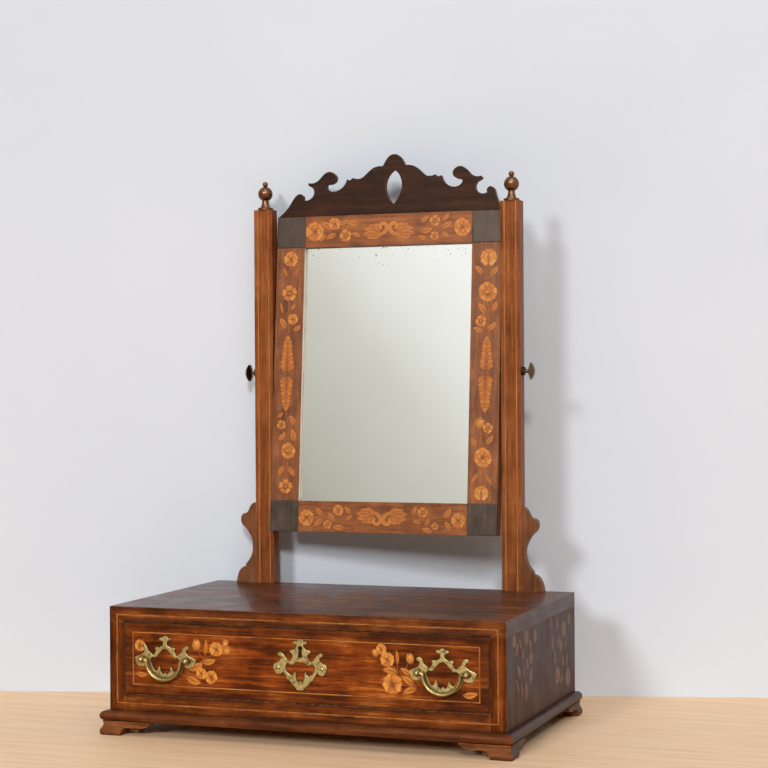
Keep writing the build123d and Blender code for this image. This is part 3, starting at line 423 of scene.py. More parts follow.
WORN = srgb(186, 124, 74)
print("worn wood is", [round(c, 3) for c in WORN])


# %% [markdown]
# ## Boards of the box
# The box is veneered on its fronts and ends over plainer wood, so a board shows one wood on its face and
# another on its hidden sides. The face is told by the direction that it looks in, which travels with the
# piece when the drawer opens. The ends have gone greyer than the front, and the top darker.

# %% Drawer front and rail
FRONT_TONES = tones_of((40, 13, 2), (80, 32, 6), (134, 62, 14), (192, 110, 43))
LIP_TONES = tones_of((45, 16, 3), (86, 38, 9), (123, 59, 17), (166, 95, 40))
DEAL_TONES = tones_of((120, 84, 48), (150, 108, 64), (172, 130, 82), (188, 148, 98))
GAP_LOW, GAP_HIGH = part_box("drawer_front")
BOX_LOW, BOX_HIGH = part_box("carcass_side_left")[0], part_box("carcass_top")[1]
BROAD_WEAR = 1.8


def drawer_front_finish():
    """Deal with veneer on its front, which is darker outside the boxwood line, and dark at its rim with dirt
    and painted shade from the gap.
    """
    material, tree, place = new_finish("drawer_front_veneer")
    deal = wood_layer(tree, place, X, 3.1, DEAL_TONES)
    veneer = wood_layer(tree, place, X, 11.0, FRONT_TONES, 210, 0.006)
    # The rim beside the gap is darkened with dirt and painted shade.
    rim = span(tree, off_rectangle(tree, place, GAP_LOW, GAP_HIGH), -2.5 * MM, -0.3 * MM, 0, 0.95)
    outer = span(tree, off_rectangle(tree, place, *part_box("drawer_stringing")), -1 * MM, 0, 0, 0.44)
    veneer = dirtied_and_shaded(tree, place, veneer, maths(tree, "MAXIMUM", outer, rim), 1.1)
    polished(tree, place, chosen(tree, faces_towards(tree, Y, -1), deal, veneer), WORN, 1.5, 0.35)
    return material


def lip_layer(tree, place, grain, seed):
    """Front veneer on the edges round the drawer, dark beside the gap with dirt and painted shade, and dirty
    along the outside.
    """
    veneer = wood_layer(tree, place, grain, seed, LIP_TONES, 260)
    # Beside the gap the lips are darkened with dirt and painted shade.
    beside = span(tree, off_rectangle(tree, place, GAP_LOW, GAP_HIGH), 7 * MM, 0, 0, 0.95)
    outer = span(tree, off_rectangle(tree, place, BOX_LOW, BOX_HIGH), -6 * MM, 0, 0, 0.7)
    return dirtied_and_shaded(tree, place, veneer, maths(tree, "MAXIMUM", beside, outer), seed)


def rail_finish():
    material, tree, place = new_finish("front_rail_veneer")
    polished(tree, place, lip_layer(tree, place, X, 17.0), WORN, 2.5, 0.9, edge=BROAD_WEAR)
    return material


dress(drawer_front_finish(), "drawer_front")
dress(rail_finish(), "front_rail")
print("drawer front is", [round(x / MM, 1) for x in GAP_HIGH - GAP_LOW], "mm")


# %% Top and ends
DULL_TONES = tones_of((39, 21, 16), (60, 36, 28), (78, 49, 39), (98, 65, 50))
TOP_TONES = tones_of((22, 8, 4), (50, 21, 10), (94, 46, 22), (150, 86, 48))
HANDS = {"left": -1, "right": 1}


def top_finish():
    """Figured board above, plain at the ends, lip veneer in front. Only the upper face is waxed."""
    material, tree, place = new_finish("top_veneer")
    end = wood_layer(tree, place, Y, 23.0, DULL_TONES, 200)
    board = wood_layer(tree, place, X, 29.0, TOP_TONES, 120, 0.012, cloud=22)
    layer = chosen(tree, faces_towards(tree, Z, 1), end, board)
    layer = chosen(tree, faces_towards(tree, Y, -1), layer, lip_layer(tree, place, X, 31.0))
    waxed = maths(tree, "MULTIPLY", faces_towards(tree, Z, 1), 0.18)
    polished(tree, place, layer, WORN, 3.5, 0.9, 0.2, waxed, edge=BROAD_WEAR)
    return material


def side_finish(hand, outside):
    """Deal inside, dull veneer outside and lip veneer in front."""
    material, tree, place = new_finish("side_veneer_" + hand)
    deal = wood_layer(tree, place, Y, 37.0, DEAL_TONES)
    veneer = wood_layer(tree, place, Z, 41.0 + outside, DULL_TONES, 180, 0.008)
    layer = chosen(tree, faces_towards(tree, X, outside), deal, veneer)
    layer = chosen(tree, faces_towards(tree, Y, -1), layer, lip_layer(tree, place, Z, 43.0 + outside))
    polished(tree, place, layer, WORN, 4.5, 0.7, shine=0.08, edge=BROAD_WEAR)
    return material


dress(top_finish(), "carcass_top")
for hand, outside in HANDS.items():
    dress(side_finish(hand, outside), "carcass_side_" + hand)
print("box is", [round(x / MM, 1) for x in BOX_HIGH - BOX_LOW], "mm")


# %% Plinth and hidden boards
PLINTH_TONES = tones_of((46, 19, 7), (80, 40, 17), (106, 56, 26), (134, 78, 41))
FOOT_TONES = tones_of((56, 26, 11), (96, 52, 25), (126, 74, 39), (154, 98, 58))
DEAL_WORN = srgb(200, 165, 115)


def foot_finish(hand, outside):
    """Warm in front, and as dull as the box's end at the side."""
    material, tree, place = new_finish("foot_wood_" + hand)
    front = wood_layer(tree, place, X, 59.0, FOOT_TONES)
    end = wood_layer(tree, place, Y, 60.0, DULL_TONES)
    layer = chosen(tree, faces_towards(tree, X, outside), front, end)
    polished(tree, place, layer, WORN, 5.5, 0.95, edge=BROAD_WEAR)
    return material


def plain_wood(name, grain, seed, tones, worn=WORN, wear=0.5, streak=230.0, cloud=28.0, **more):
    """A finish of one wood all over."""
    material, tree, place = new_finish(name)
    layer = wood_layer(tree, place, grain, seed, tones, streak, cloud=cloud)
    polished(tree, place, layer, worn, seed, wear, **more)
    return material


def bare_deal(name, grain, seed):
    """Deal that was never polished."""
    return plain_wood(name, grain, seed, DEAL_TONES, DEAL_WORN, shine=0.1, dull=0.4)


dress(plain_wood("plinth_front", X, 47.0, PLINTH_TONES, wear=0.8), "base_moulding_front")
dress(plain_wood("plinth_side", Y, 53.0, DULL_TONES, wear=0.6), *["base_moulding_" + h for h in HANDS])
for hand, outside in HANDS.items():
    dress(foot_finish(hand, outside), "foot_front_" + hand, "foot_back_" + hand)
crossways = ["carcass_back", "carcass_bottom", "drawer_back", "drawer_bottom", "drawer_stops"]
dress(bare_deal("deal_across", X, 61.0), *crossways)
lengthways = ["drawer_side_left", "drawer_side_right", "foot_glue_blocks"]
dress(bare_deal("deal_along", Y, 67.0), *lengthways)
print("bare deal on", len(crossways + lengthways), "nodes of the box")


# %% [markdown]
# ## Posts, frame and crest
# The posts are straight-grained and warmer than the box. The frame is veneered up the stiles and along the
# rails, with ebonised blocks at its corners that have worn to grey, and the fretted crest is nearly black.
# The narrow edge round the glass is pale, partly as painted highlight, and dark above the glass as painted
# shade.

# %% Posts and frame
POST_TONES = tones_of((84, 41, 17), (116, 61, 28), (139, 78, 38), (164, 99, 54))
BRACKET_TONES = tones_of((70, 38, 21), (98, 57, 34), (120, 74, 46), (142, 94, 62))
STILE_TONES = tones_of((80, 44, 27), (112, 65, 40), (138, 83, 49), (162, 103, 62))
RAIL_TONES = tones_of((86, 44, 24), (120, 67, 36), (146, 86, 47), (168, 108, 63))
CREST_TONES = tones_of((24, 12, 9), (40, 22, 16), (54, 31, 22), (78, 46, 32))
# Pale tones for the edges round the glass, partly a painted highlight.
PALE_SLIP_AND_HIGHLIGHT_TONES = tones_of((196, 187, 170), (214, 207, 192), (224, 218, 205), (230, 225, 214))
FRAME_PARTS = (
    ("frame_stile_left", STILE_TONES, PALE_SLIP_AND_HIGHLIGHT_TONES, Z, X, 1),
    ("frame_stile_right", STILE_TONES, PALE_SLIP_AND_HIGHLIGHT_TONES, Z, X, -1),
    ("frame_rail_bottom", RAIL_TONES, PALE_SLIP_AND_HIGHLIGHT_TONES, X, Z, 1),
    # Above the glass the edge takes the crest's dark tones as painted shade.
    ("frame_rail_top", RAIL_TONES, CREST_TONES, X, Z, -1),
)


def frame_finish(name, tones, slip_light_and_shade_tones, grain, axis, sign, seed):
    """Frame veneer, with another tone on the faces that look towards the glass: pale, partly as painted
    highlight, on the stiles and bottom rail, and dark as painted shade under the top rail.
    """
    material, tree, place = new_finish(name)
    veneer = wood_layer(tree, place, grain, seed, tones, 200, 0.009, cloud=38)
    slip_light_and_shade = wood_layer(tree, place, grain, seed + 1, slip_light_and_shade_tones)
    layer = chosen(tree, faces_towards(tree, axis, sign), veneer, slip_light_and_shade)
    polished(tree, place, layer, WORN, seed, 0.5, shine=0.26)
    return material


dress(plain_wood("post_wood", Z, 71.0, POST_TONES, streak=260), *["post_" + h for h in HANDS])
dress(plain_wood("bracket_wood", Z, 73.0, BRACKET_TONES, wear=0.7), *["side_bracket_" + h for h in HANDS])
for name, tones, slip_light_and_shade_tones, grain, axis, sign in FRAME_PARTS:
    dress(frame_finish(name, tones, slip_light_and_shade_tones, grain, axis, sign, 79.0 + 2 * axis + sign), name)
print("frame of", len(FRAME_PARTS), "veneered parts")


# %% Corner blocks, crest and backboard
EBONY = tones_of((28, 21, 18), (44, 35, 31), (57, 46, 42), (80, 68, 62))
EBONY_WORN, CREST_WORN = srgb(134, 120, 108), srgb(112, 74, 50)


def crest_finish():
    """Dark on the face, and browner along the fretted edge as painted light, for the light that the scrolls'
    undersides catch.
    """
    material, tree, place = new_finish("crest_wood")
    face = wood_layer(tree, place, X, 97.0, CREST_TONES, 150, 0.01)
    # The lighter tones on the fretted edges are painted light.
    painted_light_edge = wood_layer(tree, place, X, 99.0, PLINTH_TONES, 150)
    flat = maths(tree, "MAXIMUM", faces_towards(tree, Y, -1), faces_towards(tree, Y, 1))
    polished(tree, place, chosen(tree, flat, painted_light_edge, face), CREST_WORN, 97.0, 0.6, shine=0.1)
    return material


blocks = [f"corner_block_{end}_{hand}" for end in ("top", "bottom") for hand in HANDS]
dress(plain_wood("ebonised_wood", Z, 89.0, EBONY, EBONY_WORN, 0.8, shine=0.42, cloud=60), *blocks)
dress(crest_finish(), "crest")
dress(bare_deal("deal_upright", Z, 101.0), "mirror_backboard")
dress(bare_deal("glue_block", X, 103.0), "crest_glue_blocks")
print("blocks:", blocks)


# %% [markdown]
# ## Boxwood lines
# Thin lines of boxwood are let into the fronts. The lines are their own solids, so each needs only a finish:
# pale along its middle, and stained by the darker wood at both edges, which makes it look finer than it is.

# %% Lines
BOXWOOD = tones_of((150, 88, 38), (196, 126, 56), (214, 146, 72), (228, 166, 92))
POST_LINE_TONES = tones_of((130, 72, 34), (160, 98, 54), (180, 118, 70), (196, 136, 86))
LINE_STAIN, LINE_WORN, POST_LINE_WORN = srgb(104, 50, 16), srgb(214, 150, 84), srgb(180, 124, 78)
LINE_WIDTH = 1.3 * MM


def line_finish(piece, seed, faded):
    """Boxwood in a line round a rectangle, lost in patches."""
    material, tree, place = new_finish(piece + "_boxwood")
    tint, rough, height = wood_layer(tree, place, X, seed, BOXWOOD, 140)
    off = maths(tree, "ABSOLUTE", off_rectangle(tree, place, *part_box(piece), LINE_WIDTH / 2))
    lost = span(tree, noise(tree, place, 40, seed, 4), 0.35, 0.7, faded, 0.9)
    stain = maths(tree, "MAXIMUM", span(tree, off, 0.2 * MM, 0.5 * MM), lost)
    layer = blended(tree, stain, tint, LINE_STAIN), rough, height
    polished(tree, place, layer, LINE_WORN, seed, 0.0, edge=0.2, grime_and_shade=0.2)
    return material


dress(line_finish("drawer_stringing", 107.0, 0.0), "drawer_stringing")
dress(line_finish("carcass_stringing", 109.0, 0.25), "carcass_stringing")
post_line = plain_wood("post_boxwood", Z, 113.0, POST_LINE_TONES, POST_LINE_WORN, 0.2, edge=0.2, streak=140)
dress(post_line, "post_stringing")
print("lines are", round(LINE_WIDTH / MM, 1), "mm wide")


# %% [markdown]
# ## Brass, bronze and iron
# The pierced plates are cast brass that has been polished for years: bright on the high places, olive and
# brown where a cloth doesn't reach. The same mask that finds shut-in places on wood finds the tarnish here.

# %% Metals
def metal_finish(name, bright, tarnish, seed, rough=0.3, spread=0.55, edge=0.4):
    """Metal that is duller and darker in blotches and in shut-in places."""
    material, tree, place = new_finish(name)
    rounded = add(tree, "ShaderNodeBevel", {"Radius": edge * MM}, samples=4).outputs[0]
    shut_in = add(tree, "ShaderNodeAmbientOcclusion", {"Distance": 4 * MM}, samples=4).outputs["AO"]
    blotch = span(tree, noise(tree, place, 190, seed, 5, 0.6), 0.4, 0.7, 0, spread)
    stain = maths(tree, "ADD", blotch, span(tree, shut_in, 0.8, 0.3, 0, 0.7))
    tint = blended(tree, span(tree, stain, 0, 1), srgb(*bright), srgb(*tarnish))
    dull = span(tree, stain, 0, 1, rough, rough + 0.25)
    lumps = noise(tree, place, 420, seed + 1, 3)
    relief = add(tree, "ShaderNodeBump", {
        "Height": lumps, "Distance": 0.08 * MM, "Strength": 0.8, "Normal": rounded}).outputs[0]
    surfaced(tree, "ShaderNodeBsdfPrincipled", {
        "Base Color": tint, "Metallic": 1.0, "Roughness": dull, "Normal": relief})
    return material


METALS = (
    ("brass", (184, 170, 116), (74, 62, 32), 5.0, {"spread": 0.8, "edge": 1.4},
     ["handle_plate_left", "handle_plate_right", "escutcheon", "escutcheon_pins"]),
    ("handled_brass", (160, 138, 90), (70, 54, 30), 9.0, {},
     ["bail_left", "bail_right", "handle_studs_left", "handle_studs_right", "lock_bolt"]),
    ("bronze", (118, 83, 60), (54, 34, 22), 15.0, {}, ["finial_left", "finial_right"]),
    ("dark_bronze", (108, 89, 60), (50, 40, 28), 21.0, {}, ["pivot_knob_left", "pivot_knob_right"]),
    ("black_bronze", (60, 48, 36), (34, 26, 20), 23.0, {"rough": 0.5},
     ["pivot_bush_left", "pivot_bush_right", "pivot_collars"]),
    ("iron", (122, 113, 102), (66, 48, 38), 27.0, {"rough": 0.42, "spread": 0.8},
     ["back_nails", "backboard_sprigs", "handle_nuts", "lock_case", "lock_screws"]),
)
for name, bright, tarnish, seed, sizes, pieces in METALS:
    dress(metal_finish(name, bright, tarnish, seed, **sizes), *pieces)
print("metals:", {row[0]: len(row[-1]) for row in METALS})


# %% [markdown]
# ## The looking glass
# Old mirror glass is silvered on the back. The silver has gone in pinholes and small grey flowers, mostly
# along the top edge where damp got in. A metal surface with spots that are duller and darker gives that.

# %% Looking glass
def glass_finish():
    """Silver with a faint veil, and specks where the reach of the damp passes a cell's middle."""
    material, tree, place = new_finish("looking_glass")
    low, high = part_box("mirror_glass")
    height = add(tree, "ShaderNodeSeparateXYZ", {0: place}).outputs[Z]
    damp = span(tree, height, low.z, high.z)
    cells = add(tree, "ShaderNodeTexVoronoi", {"Vector": place, "Scale": 330}).outputs
    few = span(tree, add(tree, "ShaderNodeSeparateColor", {0: cells["Color"]}).outputs[0], 0.45, 1)
    patch = span(tree, noise(tree, place, 30, 33.0, 4), 0.5, 0.75, 0.0, 0.22)
    edge = span(tree, height, high.z - 45 * MM, high.z - 6 * MM, 0.0, 0.32)
    reach = maths(tree, "ADD", patch, maths(tree, "MULTIPLY", edge, few))
    reach = maths(tree, "MULTIPLY", reach, span(tree, damp, 0.0, 1.0, 0.4, 1.0))
    spotted = span(tree, maths(tree, "SUBTRACT", reach, cells["Distance"]), 0.0, 0.05)
    veil = span(tree, noise(tree, place, 9, 35.0, 5), 0.3, 0.7, 0.0, 0.35)
    tint = blended(tree, veil, srgb(246, 247, 245), srgb(236, 237, 233))
    tint = blended(tree, spotted, tint, srgb(120, 114, 102))
    rough = span(tree, spotted, 0, 1, 0.03, 0.5)
    surfaced(tree, "ShaderNodeBsdfPrincipled", {"Base Color": tint, "Metallic": 1.0, "Roughness": rough})
    return material


dress(glass_finish(), "mirror_glass")
bare = [n for n, o in nodes.items() if not o.data.materials or not o.data.materials[0].use_nodes]
print("nodes without a finish:", bare)


# %% [markdown]
# ## Marquetry motifs
# The maker cut each petal and leaf from fruitwood veneer, scorched one edge in hot sand to shade it, and
# laid the pieces side by side, so every flower is a small mosaic with dark saw lines between its parts.
# Each part here is a thin closed blade sunk into the face, with its tone, its scorching and its outline
# stored on the points. Parts that overlap lie at different heights, a few hundredths of a millimetre apart.

# %% A blade of veneer
ACROSS = (-1, -0.8, -0.35, 0, 0.35, 0.8, 1)
PROUD, SUNK, LAYER = 0.05 * MM, 0.5 * MM, 0.025 * MM
LEAF = (0.04, 0.5, 0.86, 1, 0.94, 0.74, 0.42, 0.05)
PETAL = (0.28, 0.5, 0.72, 0.9, 1, 0.98, 0.82, 0.48)
ROUND = (0.38, 0.76, 0.95, 1, 0.95, 0.76, 0.38)
TAPER = (1, 0.98, 0.94, 0.88, 0.8, 0.7, 0.62, 0.56, 0.6, 0.7, 0.5)
STALK = [0.45 + 0.55 * math.sin(math.pi * (0.1 + 0.8 * i / 24)) for i in range(25)]
UP = math.pi / 2


def blade(root, heading, length, width, outline, bend=0.0, tone=0.5, burn=0.5, vein=0.0, lift=0,
          notch=0.0, curl=1.0):
    """One part of a motif: points, faces and the stored tone, burn and outline."""
    rows, wide = len(outline) - 1, len(ACROSS)
    spine = [np.array(root, float)]
    for i in range(rows):
        turn = heading + bend * ((i + 0.5) / rows) ** curl
        spine.append(spine[-1] + length / rows * np.array((math.cos(turn), math.sin(turn))))
    points, stored = [], []
    for i, middle in enumerate(spine):
        turn = heading + bend * (i / rows) ** curl
        ahead = np.array((math.cos(turn), math.sin(turn)))
        aside = np.array((-math.sin(turn), math.cos(turn)))
        half = width / 2 * outline[i]
        for v in ACROSS:
            x, y = middle + aside * v * half - ahead * notch * length * (1 - abs(v)) * (i / rows) ** 6
            points.append((x, y, PROUD + lift * LAYER))
            line = 1.0 if abs(v) == 1 or i in (0, rows) else vein * (v == 0)
            stored.append((tone, burn * max((1 - i / rows) ** 1.6, 0.55 * max(v, 0)), line, 1))
    faces = [(i * wide + j, (i + 1) * wide + j, (i + 1) * wide + j + 1, i * wide + j + 1)
             for i in range(rows) for j in range(wide - 1)]
    rim = [i * wide for i in range(rows)] + [rows * wide + j for j in range(wide - 1)]
    rim += [i * wide + wide - 1 for i in range(rows, 0, -1)] + list(range(wide - 1, 0, -1))
    first, count = len(points), len(rim)
    points += [(*points[k][:2], -SUNK) for k in rim]
    stored += [stored[k] for k in rim]
    faces += [(rim[k], first + k, first + (k + 1) % count, rim[(k + 1) % count]) for k in range(count)]
    faces.append(tuple(range(first + count - 1, first - 1, -1)))
    return points, faces, stored


print("a blade has", len(blade((0, 0), 0, 1, 1, LEAF)[1]), "faces")


# %% Petals, eyes and the larger motifs
def whorl(count, length, width, turn=0.0, start=0.0, tone=0.72, lift=0, **more):
    """Petals set round a centre, no two quite alike."""
    petals = []
    for k in range(count):
        heading = UP + turn + 2 * math.pi * k / count
        root = (start * math.cos(heading), start * math.sin(heading))
        reach = length * (1 + 0.1 * math.sin(5.1 * k + 1.3))
        shade = tone + 0.2 * math.sin(2.4 * k)
        petals.append(blade(root, heading, reach, width, PETAL, tone=shade, lift=lift + k / count, **more))
    return petals


def button(radius, lift, tone, burn=0.0):
    """A round eye of a flower."""
    return blade((0, -radius), UP, 2 * radius, 2 * radius, ROUND, tone=tone, burn=burn, lift=lift)


def plume():
    """A feathery acanthus leaf: pairs of lobes up a rib."""
    parts = [blade((0, 0.2), UP, 0.3, 0.17, LEAF, tone=0.6, burn=0.4, vein=0.7)]
    for k in range(7):
        for s in (-1, 1):
            root, heading = (0, -0.47 + 0.11 * k), UP + s * (0.86 - 0.05 * k)
            parts.append(blade(root, heading, 0.27 - 0.012 * k, 0.125, PETAL, bend=-s * 0.3,
                               tone=0.45 + 0.15 * (k % 2), burn=0.75, vein=0.35, lift=7 - k + 0.3 * s))
    return parts + [blade((0, -0.5), UP, 0.8, 0.035, TAPER, tone=0.15, burn=0.6, lift=9)]


def scroll():
    """Acanthus lobes springing to the left from a stalk that curls up at the right."""
    left = math.pi
    lobes = ((-1.0, 0.42, -0.28), (-0.52, 0.62, -0.24), (-0.14, 0.8, -0.2),
             (0.2, 0.76, -0.2), (0.56, 0.62, -0.2), (0.98, 0.42, -0.24))
    parts = []
    for k, (turn, length, x) in enumerate(lobes):
        parts.append(blade((x, -0.1), left - turn, length, 0.25, LEAF, bend=turn * 0.6,
                           tone=0.5 + 0.12 * (k % 2), burn=0.65, vein=0.8, lift=k))
    parts.append(blade((-0.46, -0.22), 0.1, 1.05, 0.14, STALK, bend=6.0, tone=0.75, burn=0.35, vein=0.8,
                       lift=7, curl=2.1))
    return parts


def cup():
    """A rose seen a little from its side, two inner petals folded round its heart."""
    parts = []
    for k, turn in enumerate((0.0, 1.15, -1.15, 2.35, -2.35)):
        root = (0.06 * -math.sin(turn), 0.06 * math.cos(turn))
        parts.append(blade(root, UP + turn, 0.44, 0.52, PETAL, tone=0.6 + 0.1 * k, burn=0.6,
                           lift=0.4 * k, notch=0.1))
    for s in (-1, 1):
        parts.append(blade((0, -0.26), UP + s * 1.1, 0.62, 0.2, PETAL, bend=-s * 2.1, tone=0.9, burn=0.6,
                           lift=3 + 0.3 * s))
    return parts + [blade((0, -0.12), UP, 0.34, 0.22, LEAF, tone=0.7, burn=0.9, vein=0.6, lift=4)]


def tulip():
    """A bud with two side petals over a burnt heart."""
    parts = []
    for s in (-1, 1):
        parts.append(blade((0, -0.46), UP + s * 0.55, 0.98, 0.36, LEAF, bend=-s * 0.95, tone=0.6, burn=0.7,
                           vein=0.3, lift=1 + 0.3 * s))
    return parts + [blade((0, -0.4), UP, 0.78, 0.34, PETAL, tone=0.9, burn=0.9, lift=2, notch=0.08)]


print("parts:", {make.__name__: len(make()) for make in (plume, scroll, cup, tulip)})


# %% [markdown]
# ## The pattern book
# A few motifs are drawn once, at a size of about one, and laid down many times at the size that is wanted.
# They are kept as meshes in a collection of their own, as a marquetry cutter keeps a book of patterns.

# %% Pattern book
MOTIFS = {
    "leaf": [blade((-0.08, -0.49), UP - 0.35, 1, 0.42, LEAF, bend=0.7, tone=0.58, burn=0.5, vein=0.9)],
    "slim_leaf": [blade((-0.04, -0.49), UP - 0.2, 1, 0.24, LEAF, bend=0.4, tone=0.48, burn=0.4, vein=0.8)],
    "five_petals": whorl(5, 0.38, 0.44, start=0.11, burn=0.7, notch=0.14)
                   + [button(0.12, 2, 0.1, 0.9), button(0.06, 3, 0.9)],
    "eight_petals": whorl(8, 0.32, 0.36, start=0.18, burn=0.7, notch=0.1)
                    + [button(0.22, 2, 0.75, 0.5), button(0.15, 3, 0.1, 0.9), button(0.09, 4, 0.8, 0.3)],
    "daisy": whorl(9, 0.34, 0.34, 0.1, 0.16, burn=0.6, notch=0.16)
             + whorl(6, 0.24, 0.24, 0.3, 0.04, burn=1.0, lift=2)
             + [button(0.06, 4, 0.0, 0.8)],
    "rose": whorl(5, 0.36, 0.56, 0.3, 0.15, burn=0.55, notch=0.1)
            + whorl(4, 0.27, 0.36, 0.1, 0.05, burn=0.95, lift=2)
            + whorl(3, 0.14, 0.16, 0.5, 0.0, 0.3, burn=1.0, lift=4),
    "poppy": whorl(5, 0.46, 0.56, 0.5, 0.04, burn=0.75, notch=0.12)
             + whorl(4, 0.2, 0.11, 0.2, 0.02, 0.1, burn=0.8, lift=3)
             + [button(0.06, 5, 0.0, 0.9)],
    "cup": cup(),
    "tulip": tulip(),
    "plume": plume(),
    "scroll": scroll(),
}
MIRRORED = "_mirrored"


def store(mesh, label, kind, field, values):
    """Keeps a value for each point of a mesh, under a label."""
    mesh.attributes.new(label, kind, "POINT").data.foreach_set(field, np.ravel(values).tolist())


def motif_object(name, parts, mirrored):
    """A motif as one mesh, or its mirror image."""
    points, faces, stored = [], [], []
    for part_points, part_faces, part_stored in parts:
        faces += [tuple(k + len(points) for k in face) for face in part_faces]
        points += part_points
        stored += part_stored
    if mirrored:
        points = [(-x, y, z) for x, y, z in points]
        faces = [face[::-1] for face in faces]
    mesh = bpy.data.meshes.new(name)
    mesh.from_pydata(points, [], faces)
    store(mesh, "inlay", "FLOAT_COLOR", "color", stored)
    return bpy.data.objects.new(name, mesh)


pattern_book = bpy.data.collections.new("pattern_book")
MOTIF_NAMES = list(MOTIFS) + ["scroll" + MIRRORED]
for number, name in enumerate(MOTIF_NAMES):
    parts = MOTIFS[name.removesuffix(MIRRORED)]
    pattern_book.objects.link(motif_object(f"{number:02d}_{name}", parts, name.endswith(MIRRORED)))
print({name: len(parts) for name, parts in MOTIFS.items()})


# %% [markdown]
# ## Fruitwood
# The inlay is pale where it is new and tans with age. Its colour starts from the tone stored on each part,
# then fades towards the wood around it, and only then takes its scorching and its saw lines, because in a
# faded panel these are what is still seen.

# %% Fruitwood
def marquetry_finish():
    material, tree, place = new_finish("fruitwood_inlay")
    stored = add(tree, "ShaderNodeAttribute", attribute_name="inlay").outputs["Color"]
    tone, burn, line = add(tree, "ShaderNodeSeparateColor", {0: stored}).outputs
    faded = add(tree, "ShaderNodeAttribute", attribute_name="faded").outputs["Fac"]
    grain = noise(tree, stretched(tree, place, (1, 1, 0.3)), 900, 41.0, 3)
    patch = noise(tree, place, 70, 43.0, 3)
    tint = ramp(tree, summed(tree, (tone, 0.66), (grain, 0.16), (patch, 0.2)), [
        (0.22, srgb(158, 82, 28)), (0.48, srgb(200, 117, 42)), (0.72, srgb(230, 152, 64)),
        (0.9, srgb(243, 180, 94)),
    ])
    ground = blended(tree, span(tree, faded, 0.4, 0.6), srgb(176, 98, 58), srgb(98, 74, 61))
    tint = blended(tree, faded, tint, ground)
    scorched = maths(tree, "MULTIPLY", burn, span(tree, faded, 0, 1, 0.95, 0.6))
    tint = blended(tree, scorched, tint, srgb(92, 42, 15))
    tint = blended(tree, maths(tree, "MULTIPLY", line, 0.68), tint, srgb(62, 29, 12))
    rough = span(tree, patch, 0.3, 0.7, 0.34, 0.5)
    relief = add(tree, "ShaderNodeBump", {"Height": grain, "Distance": 0.04 * MM, "Strength": 0.6}).outputs[0]
    surfaced(tree, "ShaderNodeBsdfPrincipled", {
        "Base Color": tint, "Roughness": rough, "Normal": relief, "Specular IOR Level": 0.2})
    return material


FRUITWOOD = marquetry_finish()
print(FRUITWOOD.name, "has", len(FRUITWOOD.node_tree.nodes), "nodes")


# %% [markdown]
# ## Laying the marquetry
# A motif is laid on a point of a face, turned and sized there. Geometry Nodes does the laying: it reads the
# number, turn and size stored on each point, sets the motif down, and makes real mesh of the whole panel.
# Stems follow a path in the same way, as thin lines let into the wood.

# %% The laying trees
def new_tree(name, sockets):
    """A geometry tree with named inputs, and its group input and output nodes."""
    tree = bpy.data.node_groups.new(name, "GeometryNodeTree")
    tree.interface.new_socket("Geometry", in_out="INPUT", socket_type="NodeSocketGeometry")
    for label, kind in sockets.items():
        tree.interface.new_socket(label, in_out="INPUT", socket_type="NodeSocket" + kind)
    tree.interface.new_socket("Geometry", in_out="OUTPUT", socket_type="NodeSocketGeometry")
    return tree, add(tree, "NodeGroupInput").outputs, add(tree, "NodeGroupOutput")


def made_real(tree, given, end, laid):
    """Ends a tree: plain mesh, in the finish that is given."""
    real = add(tree, "GeometryNodeRealizeInstances", {0: laid}).outputs[0]
    done = add(tree, "GeometryNodeSetMaterial", {"Geometry": real, "Material": given["Finish"]}).outputs[0]
    tree.links.new(done, end.inputs[0])


def stored_value(tree, name, kind):
    return add(tree, "GeometryNodeInputNamedAttribute", {"Name": name}, data_type=kind).outputs[0]


def motif_tree():
    sockets = {"Motifs": "Collection", "Size": "Float", "Finish": "Material"}
    tree, given, end = new_tree("lay_motifs", sockets)
    book = add(tree, "GeometryNodeCollectionInfo", {
        "Collection": given["Motifs"], "Separate Children": True, "Reset Children": True}).outputs[0]
    euler = stored_value(tree, "turn", "FLOAT_VECTOR")
    turn = add(tree, "FunctionNodeEulerToRotation", {0: euler}).outputs[0]
    size = vectors(tree, "SCALE", stored_value(tree, "size", "FLOAT_VECTOR"), given["Size"])
    laid = add(tree, "GeometryNodeInstanceOnPoints", {
        "Points": given["Geometry"], "Instance": book, "Pick Instance": True,
        "Instance Index": stored_value(tree, "motif", "INT"), "Rotation": turn, "Scale": size}).outputs[0]
    made_real(tree, given, end, laid)
    return tree


def stem_tree():
    tree, given, end = new_tree("lay_stems", {"Radius": "Float", "Step": "Float", "Finish": "Material"})
    path = add(tree, "GeometryNodeMeshToCurve", {"Mesh": given["Geometry"]}).outputs[0]
    path = add(tree, "GeometryNodeCurveSplineType", {"Curve": path}, spline_type="BEZIER").outputs[0]
    path = add(tree, "GeometryNodeCurveSetHandles", {"Curve": path}, handle_type="AUTO").outputs[0]
    steps = {"Curve": path, "Length": given["Step"]}
    path = add(tree, "GeometryNodeResampleCurve", steps, mode="LENGTH").outputs[0]
    round_section = {"Resolution": 6, "Radius": given["Radius"]}
    ring = add(tree, "GeometryNodeCurvePrimitiveCircle", round_section).outputs[0]
    swept = {"Curve": path, "Profile Curve": ring, "Fill Caps": True}
    tube = add(tree, "GeometryNodeCurveToMesh", swept).outputs[0]
    tinted = add(tree, "GeometryNodeStoreNamedAttribute", {
        "Geometry": tube, "Name": "inlay", "Value": (0.4, 0.25, 0.0, 1)},
        data_type="FLOAT_COLOR", domain="POINT").outputs[0]
    made_real(tree, given, end, tinted)
    return tree


MOTIF_TREE, STEM_TREE = motif_tree(), stem_tree()
print("trees:", [(tree.name, len(tree.nodes)) for tree in (MOTIF_TREE, STEM_TREE)])


